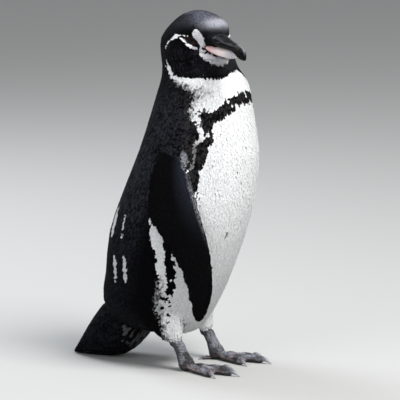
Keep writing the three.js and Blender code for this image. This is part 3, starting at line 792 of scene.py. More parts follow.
def body_skin():
    parts = [(node.split("_")[0], *grown_node(node, GROWN)) for node in BODY_FLESH]
    # The sockets and the root of the bill are filled, so that the skin closes over them.
    parts += [("head", *grown_node("eye_" + side, 0.0)) for side, _ in SIDES]
    for rows, upper, kind, reach, grow in BILL_FILLS:
        points, tris = closed_tube(bill_half([row for row in rows if row[0] <= reach], 16, 24, upper, grow))
        placed = from_head(points)
        parts.append((kind, placed, outward(placed, tris)))
    skin = Skin(parts, BODY_VOXEL, 6)
    carve_sockets(skin)
    skin.finish()
    return skin


# Feet: where the toes meet and where each runs, as in the CAD frame.
LEG_SIDE = 31
ANKLE = (6, 29.2)  # ahead, up
BALL = (18, 7.2)
# Degrees outward, length, radius and claw's length.
TOES = {"inner": (-24, 36, 4.0, 10), "middle": (2, 46, 4.4, 11.5), "outer": (26, 36, 4.1, 10),
        "hind": (-138, 13, 2.3, 5.5)}
TOE_END_HEIGHT, TOE_END_RADIUS = 0.72, 0.84  # of a toe's end, in its radii
SCUTE, TARSUS_SCUTE = 2.3, 2.5  # from one scute to the next
SCUTE_RELIEF, KNUCKLE_RELIEF, WRINKLE_RELIEF = 0.34, 0.55, 0.14
TARSUS_FROM = 11  # the height where the tarsus begins
WEB_REACH = 37  # how far along its two toes a web runs
WEB_HOLLOW = 0.80  # of that, how far its front edge is drawn back
WEB_HEIGHTS = (0.6, 3.0)


def toe_lines(sign):
    """Each toe's start and heading on the floor, its length and radius, and its claw's length."""
    start = np.array([sign * LEG_SIDE, BALL[0]])
    lines = []
    for degrees, length, radius, claw in TOES.values():
        turn = math.radians(degrees)
        lines.append((start, np.array([sign * math.sin(turn), math.cos(turn)]), length, radius, claw))
    return lines


def beside_toe(points, start, heading):
    """How far along a toe's midline each point lies, and how far to the side of it."""
    away = points[:, :2] - start
    return away @ heading, np.abs(away[:, 0] * heading[1] - away[:, 1] * heading[0])


def web_sheet(start, first, second):
    """The web between two toes' headings, as a closed sheet with a hollow front edge."""
    tips = [heading * WEB_REACH for heading in (first, second)]
    hollow = (tips[0] + tips[1]) / 2 * WEB_HOLLOW
    t = np.linspace(0, 1, 11)[:, None]
    front = (1 - t) ** 2 * tips[0] + 2 * t * (1 - t) * hollow + t**2 * tips[1]
    side = np.linspace(0.1, 0.9, 6)[:, None]
    outline = start + np.concatenate([side * tips[0], front, side[::-1] * tips[1]])
    return closed_tube(np.array([np.column_stack([outline, np.full(len(outline), z)]) for z in WEB_HEIGHTS]))


def foot_relief(points, up):
    """How far the feet's skin stands out: scutes and knuckles on the toes, wrinkles elsewhere."""
    push = np.zeros(len(points))
    for _, sign in SIDES:
        best = np.full(len(points), 9.0)
        for start, heading, length, radius, _ in toe_lines(sign):
            along, across = beside_toe(points, start, heading)
            near = (along > 2) & (along < length + 3) & (across < radius * 1.25)
            wave = np.abs(np.sin(math.pi * (along + 0.25 * across) / SCUTE))
            ridge = (wave**0.6 - 0.6) * SCUTE_RELIEF * step(radius * 1.25, radius * 0.7, across)
            knuckle = np.cos(2 * math.pi * along / (length / 2.6)) * step(radius * 1.2, 0, across)
            knuckle = KNUCKLE_RELIEF * knuckle
            closer = near & (across < best) & (np.sign(points[:, 0]) == sign)
            best = np.where(closer, across, best)
            push = np.where(closer, np.where(up > -0.1, ridge + knuckle, 0.4 * knuckle), push)
    # The tarsus has its own scutes in front, and the webs are finely wrinkled.
    tarsus = (points[:, 2] > TARSUS_FROM) & (np.abs(push) < 1e-9)
    wave = np.abs(np.sin(math.pi * points[:, 2] / TARSUS_SCUTE))
    push = np.where(tarsus, (wave**0.6 - 0.6) * 0.3 + 0.12 * wander(points, 1.1, 51), push)
    web = (~tarsus) & (np.abs(push) < 1e-9)
    push = np.where(web, WRINKLE_RELIEF * wander(points * [1, 0.5, 1], 1.0, 52), push)
    return push * step(0.2, 1.2, points[:, 2])


def foot_skin():
    parts = [("bare", *grown_node(node, GROWN)) for node in FOOT_FLESH]
    for _, sign in SIDES:
        for share in np.linspace(0, 1, 9):
            centre = np.array([sign * LEG_SIDE, ANKLE[0] - 5 * share, ANKLE[1] - 2 + 13 * share])
            parts.append(("bare", *ball_at(centre, 6.3 - 0.8 * share)))
        lines = toe_lines(sign)
        for start, heading, length, radius, _ in lines:
            end = np.append(start + heading * length, radius * TOE_END_HEIGHT)
            parts.append(("bare", *ball_at(end, radius * TOE_END_RADIUS)))
        for first, second in ((0, 1), (1, 2)):
            parts.append(("bare", *web_sheet(lines[0][0], lines[first][1], lines[second][1])))
    skin = Skin(parts, FOOT_VOXEL, 14)
    skin.finish()
    push = foot_relief(skin.points, skin.normals[:, 2])
    skin.points = skin.points + skin.normals * push[:, None]
    skin.points[:, 2] = np.maximum(skin.points[:, 2], 0)
    skin.normals = vertex_normals(skin.points, skin.tris)
    return skin


def on_toes(points):
    """1 on a toe's midline, 0 on the webs between."""
    near = np.zeros(len(points))
    for start, heading, length, radius, _ in toe_lines(1) + toe_lines(-1):
        along, across = beside_toe(points, start, heading)
        here = (along > -4) & (along < length + 8)
        near = np.maximum(near, step(radius * 1.4, radius * 0.6, across) * here)
    return near


SKIN_GREY = (0.004, 0.004, 0.0045)
FOOT_DARK = (0.012, 0.012, 0.014)
FOOT_SCALE = (0.30, 0.31, 0.36)
FOOT_PINK = (0.52, 0.33, 0.32)
LID_RED = (0.030, 0.007, 0.006)


def foot_colours(points, up):
    """Mottled grey scales on the toes and shanks with painted light where they face up, darker webs, pink
    along the toes' rims, and dark where the skin faces down.
    """
    toe = on_toes(points)
    patches = np.clip(0.42 + 0.9 * wander(points, 6, 53) + 0.45 * wander(points, 1.4, 54), 0, 1)
    # Painted light: the scales are lighter where the skin faces up.
    scaly = mix(FOOT_DARK, FOOT_SCALE, patches * (0.35 + 0.65 * step(-0.2, 0.7, up)))
    webbed = mix(FOOT_DARK, FOOT_SCALE, 0.3 * patches)
    rim = 4 * toe * (1 - toe) * np.clip(0.6 + wander(points, 3.0, 55), 0, 1)
    on_toe = np.maximum(toe, step(4.5, 8, points[:, 2]))
    bare = mix(mix(webbed, scaly, on_toe), FOOT_PINK, 0.75 * rim * step(9, 6, points[:, 2]))
    bare = mix(bare, FOOT_PINK, 0.4 * (1 - on_toe) * np.clip(0.5 + wander(points, 5.0, 56), 0, 1))
    return mix(bare, FOOT_DARK, step(0.2, -0.5, up))


def lid_colours(count):
    """Red by the eyeball, above all on top, and dark out to the skin."""
    ring, turn = np.divmod(np.arange(count), LID_POINTS)
    red = (ring < 4) * (0.35 + 0.65 * step(-0.1, 0.5, np.sin(turn / LID_POINTS * 2 * math.pi)))
    return mix(SKIN_GREY, LID_RED, red)


def make_skin(body, foot):
    tree = BVHTree.FromPolygons(body.points.tolist(), body.tris.tolist())
    lids = [lid_ring(side, tree) for side, _ in SIDES]
    points, tris = joined([(body.points, body.tris), (foot.points, foot.tris), *lids])
    obj = new_object("skin", points, tris)
    under = mix(UNDER_DOWN, SKIN_GREY, plumage_darkness(body.points, body.share))
    bare = foot_colours(foot.points, foot.normals[:, 2])
    paint(obj.data, "tint", np.concatenate([under, bare, *(lid_colours(len(placed)) for placed, _ in lids)]))
    obj.data.materials.append(grained_material("bare_skin"))
    obj.data.materials.append(foot_material())
    slots = np.zeros(len(tris), dtype=np.int32)
    slots[len(body.tris): len(body.tris) + len(foot.tris)] = 1
    obj.data.polygons.foreach_set("material_index", slots)
    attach(obj, "root")
    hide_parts(*BODY_FLESH, *FOOT_FLESH)


# ---- Coat ----------------------------------------------------------------------------------------
OVERSAMPLE = 4.2  # candidate roots for each feather
# By height, how far the feathers of the right and of the left flipper lean forward.
FLIPPER_SLOPE = ((54, 0.35, 0.35), (80, 0.28, 0.14), (115, 0.24, -0.14), (150, 0.30, -0.10),
                 (180, 0.12, -0.05), (219, 0.05, 0.05))
TAIL_LIE, LEG_LIE = np.array([0, -0.78, -0.62]), np.array([0, -0.05, -1.0])
BILL_ROOT = (40.0, 0.0, -3.0)


def scatter(skin):
    """Feather roots, evenly spread by the coat's spacing: triangle and weights of each."""
    a, b, c = (skin.points[skin.tris[:, k]] for k in range(3))
    area = 0.5 * np.linalg.norm(np.cross(b - a, c - a), axis=1)
    spacing = skin.coat[skin.tris, 1].mean(axis=1)
    area[skin.share[skin.tris, KINDS.index("bare")].mean(axis=1) > 0.5] = 0
    tri = np.repeat(np.arange(len(area)), rng.poisson(area / spacing**2 * OVERSAMPLE))
    u, v = rng.random((2, len(tri)))
    over = u + v > 1
    u[over], v[over] = 1 - u[over], 1 - v[over]
    weights = np.stack([1 - u - v, u, v], axis=1)
    points = (skin.points[skin.tris[tri]] * weights[:, :, None]).sum(axis=1)
    radius = (skin.coat[skin.tris[tri], 1] * weights).sum(axis=1) * face_fineness(points)
    order = rng.permutation(len(tri))
    places = points.tolist()
    tree = KDTree(len(tri))
    for index, place in enumerate(places):
        tree.insert(place, index)
    tree.balance()
    free, kept, reach = bytearray(b"\1") * len(tri), [], radius.tolist()
    for index in order.tolist():
        if free[index]:
            kept.append(index)
            for _, other, _ in tree.find_range(places[index], reach[index]):
                free[other] = 0
    kept = np.array(sorted(kept))
    return tri[kept], weights[kept]


def face_fineness(bird):
    """The face's feathers shrink towards the bill."""
    local = to_head(bird)
    fine = step(-30, 14, local[:, 0]) * step(-34, -20, local[:, 2])
    return 1 - 0.32 * fine


def lie_of_coat(bird, share):
    """The way the feathers point, before it is laid along the skin."""
    kinds = {k: share[:, i: i + 1] for i, k in enumerate(KINDS)}
    z = bird[:, 2]
    pull = step(115, 35, z)
    trunk = unit(np.stack([0 * z, -0.12 - 0.9 * pull, -1 + 0.55 * pull], axis=1))
    local = to_head(bird)
    away = unit(local - BILL_ROOT)
    downward = np.maximum(step(-18, -40, local[:, 0]), step(-14, -27, local[:, 2]))
    head = turned_head(unit(mix(away, (-0.2, 0, -1.0), downward)))
    slope = np.where(bird[:, 0] > 0, between(FLIPPER_SLOPE, z, 2), between(FLIPPER_SLOPE, z, 1))
    flipper = unit(np.stack([0 * z, slope, -1 + 0 * z], axis=1))
    return (trunk * (kinds["trunk"] + kinds["neck"]) + head * kinds["head"] + flipper * kinds["flipper"]
            + unit(TAIL_LIE) * kinds["tail"] + unit(LEG_LIE) * kinds["leg"] + head * kinds["bare"])


def along_skin(vectors, normals):
    return unit(vectors - normals * np.einsum("ij,ij->i", vectors, normals)[:, None])


class Ground:
    """The whole skin as a surface to lay feathers on."""

    def __init__(self, *skins):
        points, tris = joined([(s.points, s.tris) for s in skins])
        self.normals = np.concatenate([s.normals for s in skins])
        self.depth = np.concatenate([s.coat[:, 0] for s in skins])
        self.corner = tris[:, 0]
        self.tree = BVHTree.FromPolygons(points.tolist(), tris.tolist())

    def under(self, points):
        """The skin's nearest point, smooth normal and coat depth for each point."""
        found = [self.tree.find_nearest(p)[:3:2] for p in points.tolist()]
        places = np.array([f[0] for f in found])
        corner = self.corner[np.array([f[1] for f in found])]
        return places, self.normals[corner], self.depth[corner]


# Along a vane: how far out, its half width, its share of the coat's depth, and its ridge in mm.
STATIONS = ((0.0, 0.0, -0.05, 0.0), (0.45, 0.86, 0.66, 0.10), (0.84, 0.84, 0.95, 0.08), (1.0, 0.0, 1.0, 0.0))
VANE_POINTS = 8
CAMBER = 0.22  # how far a vane's shading leans over to each side
# Of each point: the share of the tip's colour, and the place across and along the vane.
TIP_SHARE = np.array([0, 0.25, 0.25, 0.25, 0.75, 0.6, 0.75, 1.0])
ACROSS = np.array([0.5, 0.05, 0.5, 0.95, 0.05, 0.5, 0.95, 0.5])
ALONG = np.array([0.0, 0.45, 0.45, 0.45, 0.84, 0.84, 0.84, 1.0])
PATCH = 0.003  # of the skin's unwrap, for one vane
VANE_TRIS = np.array([
    (0, 2, 1), (0, 3, 2), (0, 1, 3),
    (1, 2, 5), (1, 5, 4), (2, 3, 6), (2, 6, 5), (3, 1, 4), (3, 4, 6),
    (4, 5, 7), (5, 6, 7), (6, 4, 7),
])


def lay_vanes(ground, root, lie, normal, length, width, lift):
    """Closed vanes of 8 points each, from their roots along the skin.

    Points: the root, then left, ridge and right at two stations, then the tip."""
    count = len(root)
    points = np.empty((count, VANE_POINTS, 3))
    facing = np.empty((count, VANE_POINTS, 3))
    facing[:, 0] = normal
    depth_here = ground.under(root)[2]
    points[:, 0] = root + normal * (STATIONS[0][2] * depth_here)[:, None]
    for row, (out, half, share, ridge) in enumerate(STATIONS[1:], start=1):
        aim = root + lie * (length * out)[:, None]
        place, n, depth = ground.under(aim)
        # Past an edge of the skin the vane goes straight on.
        jump = np.linalg.norm(place - aim, axis=1)
        hold = step(1.1, 0.7, jump / (0.22 * length * out + 0.35))[:, None]
        place = aim + (place - aim) * hold
        n = unit(n * hold + normal * (1 - hold))
        depth = depth * hold[:, 0] + depth_here * (1 - hold[:, 0])
        base = place + n * (depth * share * lift)[:, None]
        across = unit(np.cross(n, lie))
        if row == len(STATIONS) - 1:
            points[:, 7], facing[:, 7] = base, unit(n + 0.1 * lie)
            continue
        at = 1 + (row - 1) * 3
        side = across * (width * half / 2)[:, None]
        points[:, at], points[:, at + 1], points[:, at + 2] = base + side, base + n * ridge, base - side
        facing[:, at], facing[:, at + 1], facing[:, at + 2] = n + CAMBER * across, n, n - CAMBER * across
    points[:, :, 2] = np.maximum(points[:, :, 2], 0.2)
    return points, unit(facing)


def vane_mesh(name, points, facing, root_colour, tip_colour, unwrap):
    """Vanes as one object, with each one's colours and its patch of the skin's unwrap."""
    count = len(points)
    tris = (VANE_TRIS[None] + np.arange(count)[:, None, None] * VANE_POINTS).reshape(-1, 3)
    a, b, c = (points[:, VANE_TRIS[:, k]] - points[:, :1] for k in range(3))
    if np.einsum("ijk,ijk->", a, np.cross(b, c)) < 0:
        tris = tris[:, ::-1].copy()
    obj = new_object(name, points.reshape(-1, 3), tris)
    obj.data.normals_split_custom_set_from_vertices((facing.reshape(-1, 3) * [1, -1, 1]).tolist())
    tip_share = np.broadcast_to(TIP_SHARE, (count, VANE_POINTS))
    colours = mix(root_colour[:, None], tip_colour[:, None], tip_share)
    paint(obj.data, "tint", colours.reshape(-1, 3))
    flat = tris[:, ::-1].ravel()
    place = np.stack([ACROSS, ALONG], axis=1)
    for layer, uv in (("OFBake", unwrap[:, None] + (place - 0.5) * PATCH),
                      ("barbs", np.broadcast_to(place, (count, VANE_POINTS, 2)))):
        made = obj.data.uv_layers.new(name=layer)
        made.data.foreach_set("uv", uv.reshape(-1, 2)[flat].astype(np.float32).ravel())
    obj.data.uv_layers.active = obj.data.uv_layers["OFBake"]
    return obj


def kinds_of(share):
    """The share of each kind of coat, with the bill's feathered root counted as head."""
    kinds = {k: share[:, i] for i, k in enumerate(KINDS)}
    kinds["head"] = kinds["head"] + kinds["bare"]
    return kinds


def plumage_darkness(bird, share):
    """1 where the plumage is dark, 0 where it is white, over the whole bird."""
    kinds = kinds_of(share)
    dark = np.where(kinds["head"] > 0.5, head_darkness(bird), body_darkness(bird))
    # A flipper is dark outside and along its edges, and pale on the upper part of its inner face.
    pale = step(205, 196, bird[:, 2]) * step(86, 120, bird[:, 2]) * flipper_core(bird)
    pale = np.where(flipper_inside(bird), pale, 0) + 0.35 * wander(bird, 2.4, 9)
    dark = np.where(kinds["flipper"] > 0.5, np.where(pale > 0.5, 0.15, 1.0), dark)
    dark = np.where(kinds["tail"] > 0.5, tail_darkness(bird), dark)
    # The legs are white on their inner sides, as the belly between them is.
    between_legs = (np.abs(bird[:, 0]) < LEG_SIDE - 3) & (bird[:, 2] < 66) & (bird[:, 1] > -22)
    return np.where(between_legs & (kinds["tail"] < 0.5), 0.0, dark)


# Across a flipper, from the CAD frame's sections: height, the leading and trailing edge along the
# chord, the plane's distance, and how far the left flipper is set back and turned, in degrees.
FLIPPER = ((54, 24.5, 20.5, 68.8, 38, 15), (66, 32, 15, 69.5, 39, 15), (79, 36, 12.5, 70, 38.5, 15),
           (96, 36.2, 8, 70, 34, 14), (115, 34.8, -1.5, 69.5, 27, 12), (134, 31, -13.5, 68.5, 19.5, 10),
           (151, 26, -26, 67, 12.5, 8), (165, 21, -27.5, 65, 7, 6), (180, 15.5, -26.5, 62.5, 3, 4),
           (195, 11.5, -24, 59.5, 1, 2), (210, 9.5, -18, 54, 0, 0), (219, 4, -10, 47, 0, 0))
FLIPPER_FACES = math.radians(70)


def flipper_frame(bird):
    """Each point's place along the flipper's chord, and its distance out from the bird's axis."""
    z, out, left = bird[:, 2], np.abs(bird[:, 0]), bird[:, 0] > 0
    back, turn = (between(FLIPPER, z, k) * left for k in (4, 5))
    facing, ahead = FLIPPER_FACES + np.radians(turn), bird[:, 1] + back
    return (ahead * np.sin(facing) - out * np.cos(facing),
            out * np.sin(facing) + ahead * np.cos(facing))


def flipper_chord(bird):
    """Place across the flipper, 0 at the leading edge and 1 at the trailing edge."""
    lead, trail = (between(FLIPPER, bird[:, 2], k) for k in (1, 2))
    return (lead - flipper_frame(bird)[0]) / (lead - trail)


def flipper_inside(bird):
    """True on the face of a flipper that lies against the body."""
    return flipper_frame(bird)[1] < between(FLIPPER, bird[:, 2], 3)


def flipper_core(bird):
    """1 in the middle of a flipper's width, 0 at its edges."""
    across = flipper_chord(bird)
    return step(0.06, 0.2, across) * step(0.92, 0.7, across)


def tail_darkness(bird):
    """The tail is dark, with a pale mottled patch under its root."""
    pale = step(-64, -50, bird[:, 1]) * step(48, 36, bird[:, 2]) * step(4, 10, bird[:, 2])
    pale = pale * (0.62 + 0.8 * wander(bird, 3.2, 10))
    return np.where(pale > 0.5, 0.9, 1.0)


def dark_tips(bird, kinds, vary):
    """Tips of the dark feathers: black, slate, grey on the head and brownish in the band, with painted sheen
    on the crown and the flippers, and painted highlights on the forehead and on the flippers' edges and
    shoulders.
    """
    z, head, wing = bird[:, 2], kinds["head"], kinds["flipper"]
    signed, radius = round_body(bird)
    turned = np.abs(signed)
    around, rise = round_head(bird)
    back = step(60, 80, turned) * step(285, 240, z)
    slate = np.clip(0.42 + 0.2 * wander(bird, 9, 11) + 0.15 * wander(bird, 1.5, 20) + 0.3 * vary, 0, 1)
    slate = slate * back * (0.3 + 0.7 * step(90, 170, z))
    tip = mix(BLACK, SLATE, slate * step(86, 104, turned + 20 * step(180, 200, z)))
    # The crown's grey is partly its own tone and partly a painted sheen.
    crown_and_sheen = between(CROWN_GREY_AND_SHEEN_SHARE, np.abs(around)) * step(24, 50, rise)
    crown_and_sheen = (crown_and_sheen + (0.5 - crown_and_sheen) * step(62, 78, rise)) * head * np.clip(1 + 0.35 * vary, 0.2, 2)
    tip = mix(tip, CROWN_GREY_AND_SHEEN, np.clip(crown_and_sheen, 0, 1))
    # A painted highlight on the forehead, brightest on its left side.
    brow_highlight = between(BROW_HIGHLIGHT_ROUND, around) * between(BROW_HIGHLIGHT_RISE, rise) * head * (1 + 0.12 * vary)
    tip = mix(tip, BROW_HIGHLIGHT, np.clip(brow_highlight, 0, 1))
    # The band and the nape's side are mottled with brown.
    in_band = step(88, 78, turned) * (1 - head) * step(270, 262, z) * step(110, 160, z)
    mottled = np.clip(0.5 + 0.9 * wander(bird, 2.2, 16) + 0.35 * vary, 0, 1)
    tip = mix(tip, BAND_BROWN, 0.75 * in_band * mottled)
    nape = step(72, 84, turned) * step(128, 110, turned) * step(228, 246, z) * (1 - head)
    tip = mix(tip, BAND_BROWN, 0.3 * nape * mottled)
    cheek = head * step(8, -8, rise) * np.clip(0.1 + 0.7 * wander(bird, 3.0, 12) + 0.5 * vary, 0, 1)
    tip = mix(tip, CHEEK, 0.6 * cheek)
    sheen = step(120, 190, z) * step(0.5, 0.12, flipper_chord(bird))
    tip = mix(tip, mix(FLIPPER_BLACK, FLIPPER_SHEEN, sheen), wing)
    # A painted highlight along the flipper's leading edge.
    edge = wing * step(0.11, 0.04, flipper_chord(bird)) * step(120, 165, z)
    tip = mix(tip, FLIPPER_HIGHLIGHT, 0.7 * edge * np.clip(1 + 0.5 * vary, 0, 1.6))
    # A painted highlight on the flipper's shoulder.
    in_shoulder_highlight = inside_dots(turned, radius, z, SHOULDER_HIGHLIGHT)
    return mix(tip, FLIPPER_HIGHLIGHT, step(-0.8, 0.8, in_shoulder_highlight + 0.5 * vary))


def white_feathers(bird, kinds, vary):
    """White feathers, greyer on the lore, and darker low on the body as painted shade."""
    z, head = bird[:, 2], kinds["head"]
    around, rise = round_head(bird)
    white = np.tile(WHITE, (len(z), 1)) * (1 + 0.05 * np.clip(vary, -1.5, 1.5))[:, None]
    # Painted shade: the white is darker low on the body, except on the legs.
    white = white * (1 - 0.2 * step(170, 50, z) * (1 - head) * (1 - kinds["leg"]))[:, None]
    lore = head * step(38, 30, np.abs(around)) * step(-30, -24, rise) * step(30, 23, rise)
    dusky = np.where(rise > -8, 0.95 - 0.3 * step(12, 22, rise), 0.85 - 0.55 * step(4, 16, around))
    return mix(white, LORE, lore * np.clip(dusky + 0.25 * np.clip(vary, -1, 1), 0, 1))


def plumage_colours(bird, share):
    """Root and tip colours of the feathers whose tips lie at these points."""
    kinds = kinds_of(share)
    dark = plumage_darkness(bird, share)[:, None]
    vary = rng.normal(0, 1, len(bird))
    tip, white = dark_tips(bird, kinds, vary), white_feathers(bird, kinds, vary)
    root = tip * (0.2 + 0.25 * kinds["head"])[:, None] + 0.3 * np.array(BLACK)
    return white * 0.92 * (1 - dark) + root * dark, white * (1 - dark) + tip * dark


def unwrap_of(name, root):
    """Each root's place, from 0 to 1, on an unwrap of the skin that carries this piece."""
    x, y, z = root.T
    if name in ("coat_breast", "coat_belly", "coat_back", "coat_rump"):
        signed, radius = round_body(root)
        turned = signed if name in ("coat_breast", "coat_belly") else (signed + 360) % 360 - 180
        return np.stack([0.5 + turned / 240, (z + 0.8 * radius - 20) / 370], axis=1)
    if name == "coat_head":
        around, rise = round_head(root)
        return np.stack([0.5 + around / 362, 0.5 + rise / 182], axis=1)
    if name.startswith("coat_flipper"):
        inner = flipper_inside(root)
        across = np.clip(flipper_chord(root), -0.05, 1.05) * 0.44 + 0.025
        return np.stack([np.where(inner, across, across + 0.5), (z - 50) / 175], axis=1)
    if name == "coat_legs":
        angle = np.arctan2(x - np.sign(x) * LEG_SIDE, y + 5) / (2 * math.pi) + 0.5
        return np.stack([(angle + (x > 0)) / 2, (z - 25) / 80], axis=1)
    angle = np.arctan2(x, z - 45 - (y + 60) * 0.75) / (2 * math.pi) + 0.5
    return np.stack([angle, (-y - 30) / 95], axis=1)


PIECES_PART_AT = 135  # height between the upper and the lower pieces of the body's coat
FRONT_ENDS_AT = 76  # degrees round from the middle of the front


def piece_of(root, share):
    """The coat piece that each feather belongs to."""
    kind = np.array(KINDS)[share.argmax(1)]
    signed, _ = round_body(root)
    low = root[:, 2] < PIECES_PART_AT
    body = np.where(np.abs(signed) < FRONT_ENDS_AT, np.where(low, "coat_belly", "coat_breast"),
                    np.where(low, "coat_rump", "coat_back"))
    names = np.where((kind == "trunk") | (kind == "neck"), body, "coat_head")
    names = np.where(kind == "tail", "coat_tail", names)
    names = np.where(kind == "leg", "coat_legs", names)
    sides = np.where(root[:, 0] > 0, "coat_flipper_left", "coat_flipper_right")
    return np.where(kind == "flipper", sides, names)


def clear_of_lids(points, gap, depth):
    """False inside a gap round an eye's opening, down to a depth and up to the same height."""
    clear = np.ones(len(points), dtype=bool)
    for eye in EYE_FRAMES.values():
        local = eye.local(points)
        clear &= (beyond_lids(local[:, 0], local[:, 1]) > gap) | (np.abs(local[:, 2]) > depth)
    return clear


BILL_GAP = 0.6  # between the bill and the nearest feathers' roots


def feather_grows(root):
    """False on the lids and beside the bill."""
    grows = clear_of_lids(root, 0.7, 9)
    head = to_head(root)
    ragged = FEATHERED + 1.4 * wander(root, 2.5, 15)
    for rows, start in ((BILL_UPPER, ragged), (BILL_LOWER, 5)):
        top, bottom, width = (between(rows, head[:, 0], k) for k in (1, 2, 3))
        middle, half = (top + bottom) / 2, (top - bottom) / 2
        reach = np.hypot(head[:, 1] / (width + BILL_GAP), (head[:, 2] - middle) / (half + BILL_GAP))
        grows &= (reach > 1) | (head[:, 0] < start)
    return grows


EDGE_STRAY = 1.0  # how far past a flipper's thin edge a feather may reach


def vane_stays(ground, points, wing):
    """False for a flipper's feathers that stand out past its edge."""
    stays = np.ones(len(points), dtype=bool)
    for corner in (4, 6, 7):
        place = ground.under(points[wing, corner])[0]
        stays[wing] &= np.linalg.norm(points[wing, corner] - place, axis=1) <= EDGE_STRAY
    return stays


SWING = math.radians(6.5)  # how far the feathers turn to either side
LENGTHS, WIDTHS, LIFTS = (0.86, 1.12), (0.9, 1.08), (0.93, 1.05)  # spreads, as shares
TAIL_TIP_SHORTER = 0.75


def make_coat(body, foot):
    ground = Ground(body, foot)
    tri, weights = scatter(body)
    corners = body.tris[tri]

    def read(values):
        return (values[corners] * weights[:, :, None]).sum(axis=1)

    root, normal = read(body.points), unit(read(body.normals))
    share, coat = read(body.share), read(body.coat)
    keep = feather_grows(root)
    root, normal, share, coat = root[keep], normal[keep], share[keep], coat[keep]
    fine = face_fineness(root)
    lie = along_skin(lie_of_coat(root, share), normal)
    swing = rng.normal(0, SWING, len(root))[:, None]
    lie = unit(lie * np.cos(swing) + np.cross(normal, lie) * np.sin(swing))
    length = coat[:, 2] * fine * rng.uniform(*LENGTHS, len(root))
    tail_end = share[:, KINDS.index("tail")] * step(-96, -116, root[:, 1])
    length = length * (1 - TAIL_TIP_SHORTER * tail_end)
    width = coat[:, 3] * fine * rng.uniform(*WIDTHS, len(root))
    lift = rng.uniform(*LIFTS, len(root))
    points, facing = lay_vanes(ground, root, lie, normal, length, width, lift)
    keep = vane_stays(ground, points, share[:, KINDS.index("flipper")] > 0.5)
    keep &= clear_of_lids(points[:, 7], 0.35, 8)
    points, facing, root, share = points[keep], facing[keep], root[keep], share[keep]
    root_colour, tip_colour = plumage_colours(points[:, 5] * 0.35 + points[:, 7] * 0.65, share)
    names = piece_of(root, share)
    material = coat_material()
    for name in sorted(set(names.tolist())):
        mine = names == name
        spread = np.clip(unwrap_of(name, root[mine]), 0.004, 0.996)
        obj = vane_mesh(name, points[mine], facing[mine], root_colour[mine], tip_colour[mine], spread)
        obj.data.materials.append(material)
        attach(obj, "root")
        print(name, mine.sum(), "feathers", mine.sum() * len(VANE_TRIS), "triangles")


# ---- Tail quills and claws -----------------------------------------------------------------------
QUILLS, QUILL_ROWS = 16, 14
QUILL_ROOT = (-58.0, 42.0)  # ahead, up of the fan's middle
QUILL_TIP = (-119.0, 2.2)
QUILL_ROOTS, QUILL_TIPS = 13, 19  # how far to each side the fan's edges lie
QUILL_HALF, QUILL_THICK, QUILL_ARCH = 3.6, 0.75, 4.5
QUILL_BLACK, QUILL_WORN = (0.013, 0.0125, 0.013), (0.055, 0.043, 0.034)


def blade_section(half, thick):
    """Across a quill: its flat vane's two sides, and the shaft along its middle."""
    fold = half * 0.5
    return ((-half, -0.1), (-fold, thick * 0.45), (-0.35, thick * 0.6), (0, thick), (0.35, thick * 0.6),
            (fold, thick * 0.45), (half, -0.1), (fold, -0.35), (0, -0.6 * thick), (-fold, -0.35))


def make_tail_quills():
    """Stiff narrow feathers fanned over the tail, each one long closed blade."""
    parts, tints = [], []
    for k in range(QUILLS):
        spread = (k + 0.5) / QUILLS * 2 - 1
        side = abs(spread)
        start = np.array([spread * QUILL_ROOTS, QUILL_ROOT[0] + 3 * side, QUILL_ROOT[1] - 12 * side])
        out, back = spread * QUILL_TIPS * (1 - 0.2 * side**2), QUILL_TIP[0] + 20 * side**2.2
        end = np.array([out, back, QUILL_TIP[1]]) + [0, rng.uniform(-1.5, 2.0), rng.uniform(0, 1.2)]
        c, s = math.cos(spread * 0.75), math.sin(spread * 0.75)
        rings = []
        for t in np.linspace(0, 1, QUILL_ROWS):
            arch = QUILL_ARCH * math.sin(math.pi * t) * (1 - side)
            centre = start + (end - start) * t + np.array([0, 0, arch])
            centre[2] = max(centre[2], 1.6)
            half = QUILL_HALF * min(1, 0.55 + 1.2 * t) * (1 - max(0, (t - 0.72) / 0.28) ** 2.2) + 0.25
            section = blade_section(half, QUILL_THICK * (1 - 0.6 * t))
            rings.append([centre + [u * c + v * s, 0, -u * s + v * c] for u, v in section])
        points, tris = closed_tube(np.array(rings))
        points[:, 2] = np.maximum(points[:, 2], 0.0)
        parts.append((points, tris))
        worn = step(-100, -118, points[:, 1])
        tints.append(mix(QUILL_BLACK, QUILL_WORN, worn * rng.uniform(0.3, 1)))
    obj = new_object("tail_quills", *joined(parts))
    paint(obj.data, "tint", np.concatenate(tints))
    obj.data.materials.append(horn_feather_material())
    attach(obj, "root")


CLAW_AROUND, CLAW_ROWS = 20, 16
CLAW_ROOT, CLAW_TIP = (0.055, 0.055, 0.068), (0.26, 0.265, 0.29)


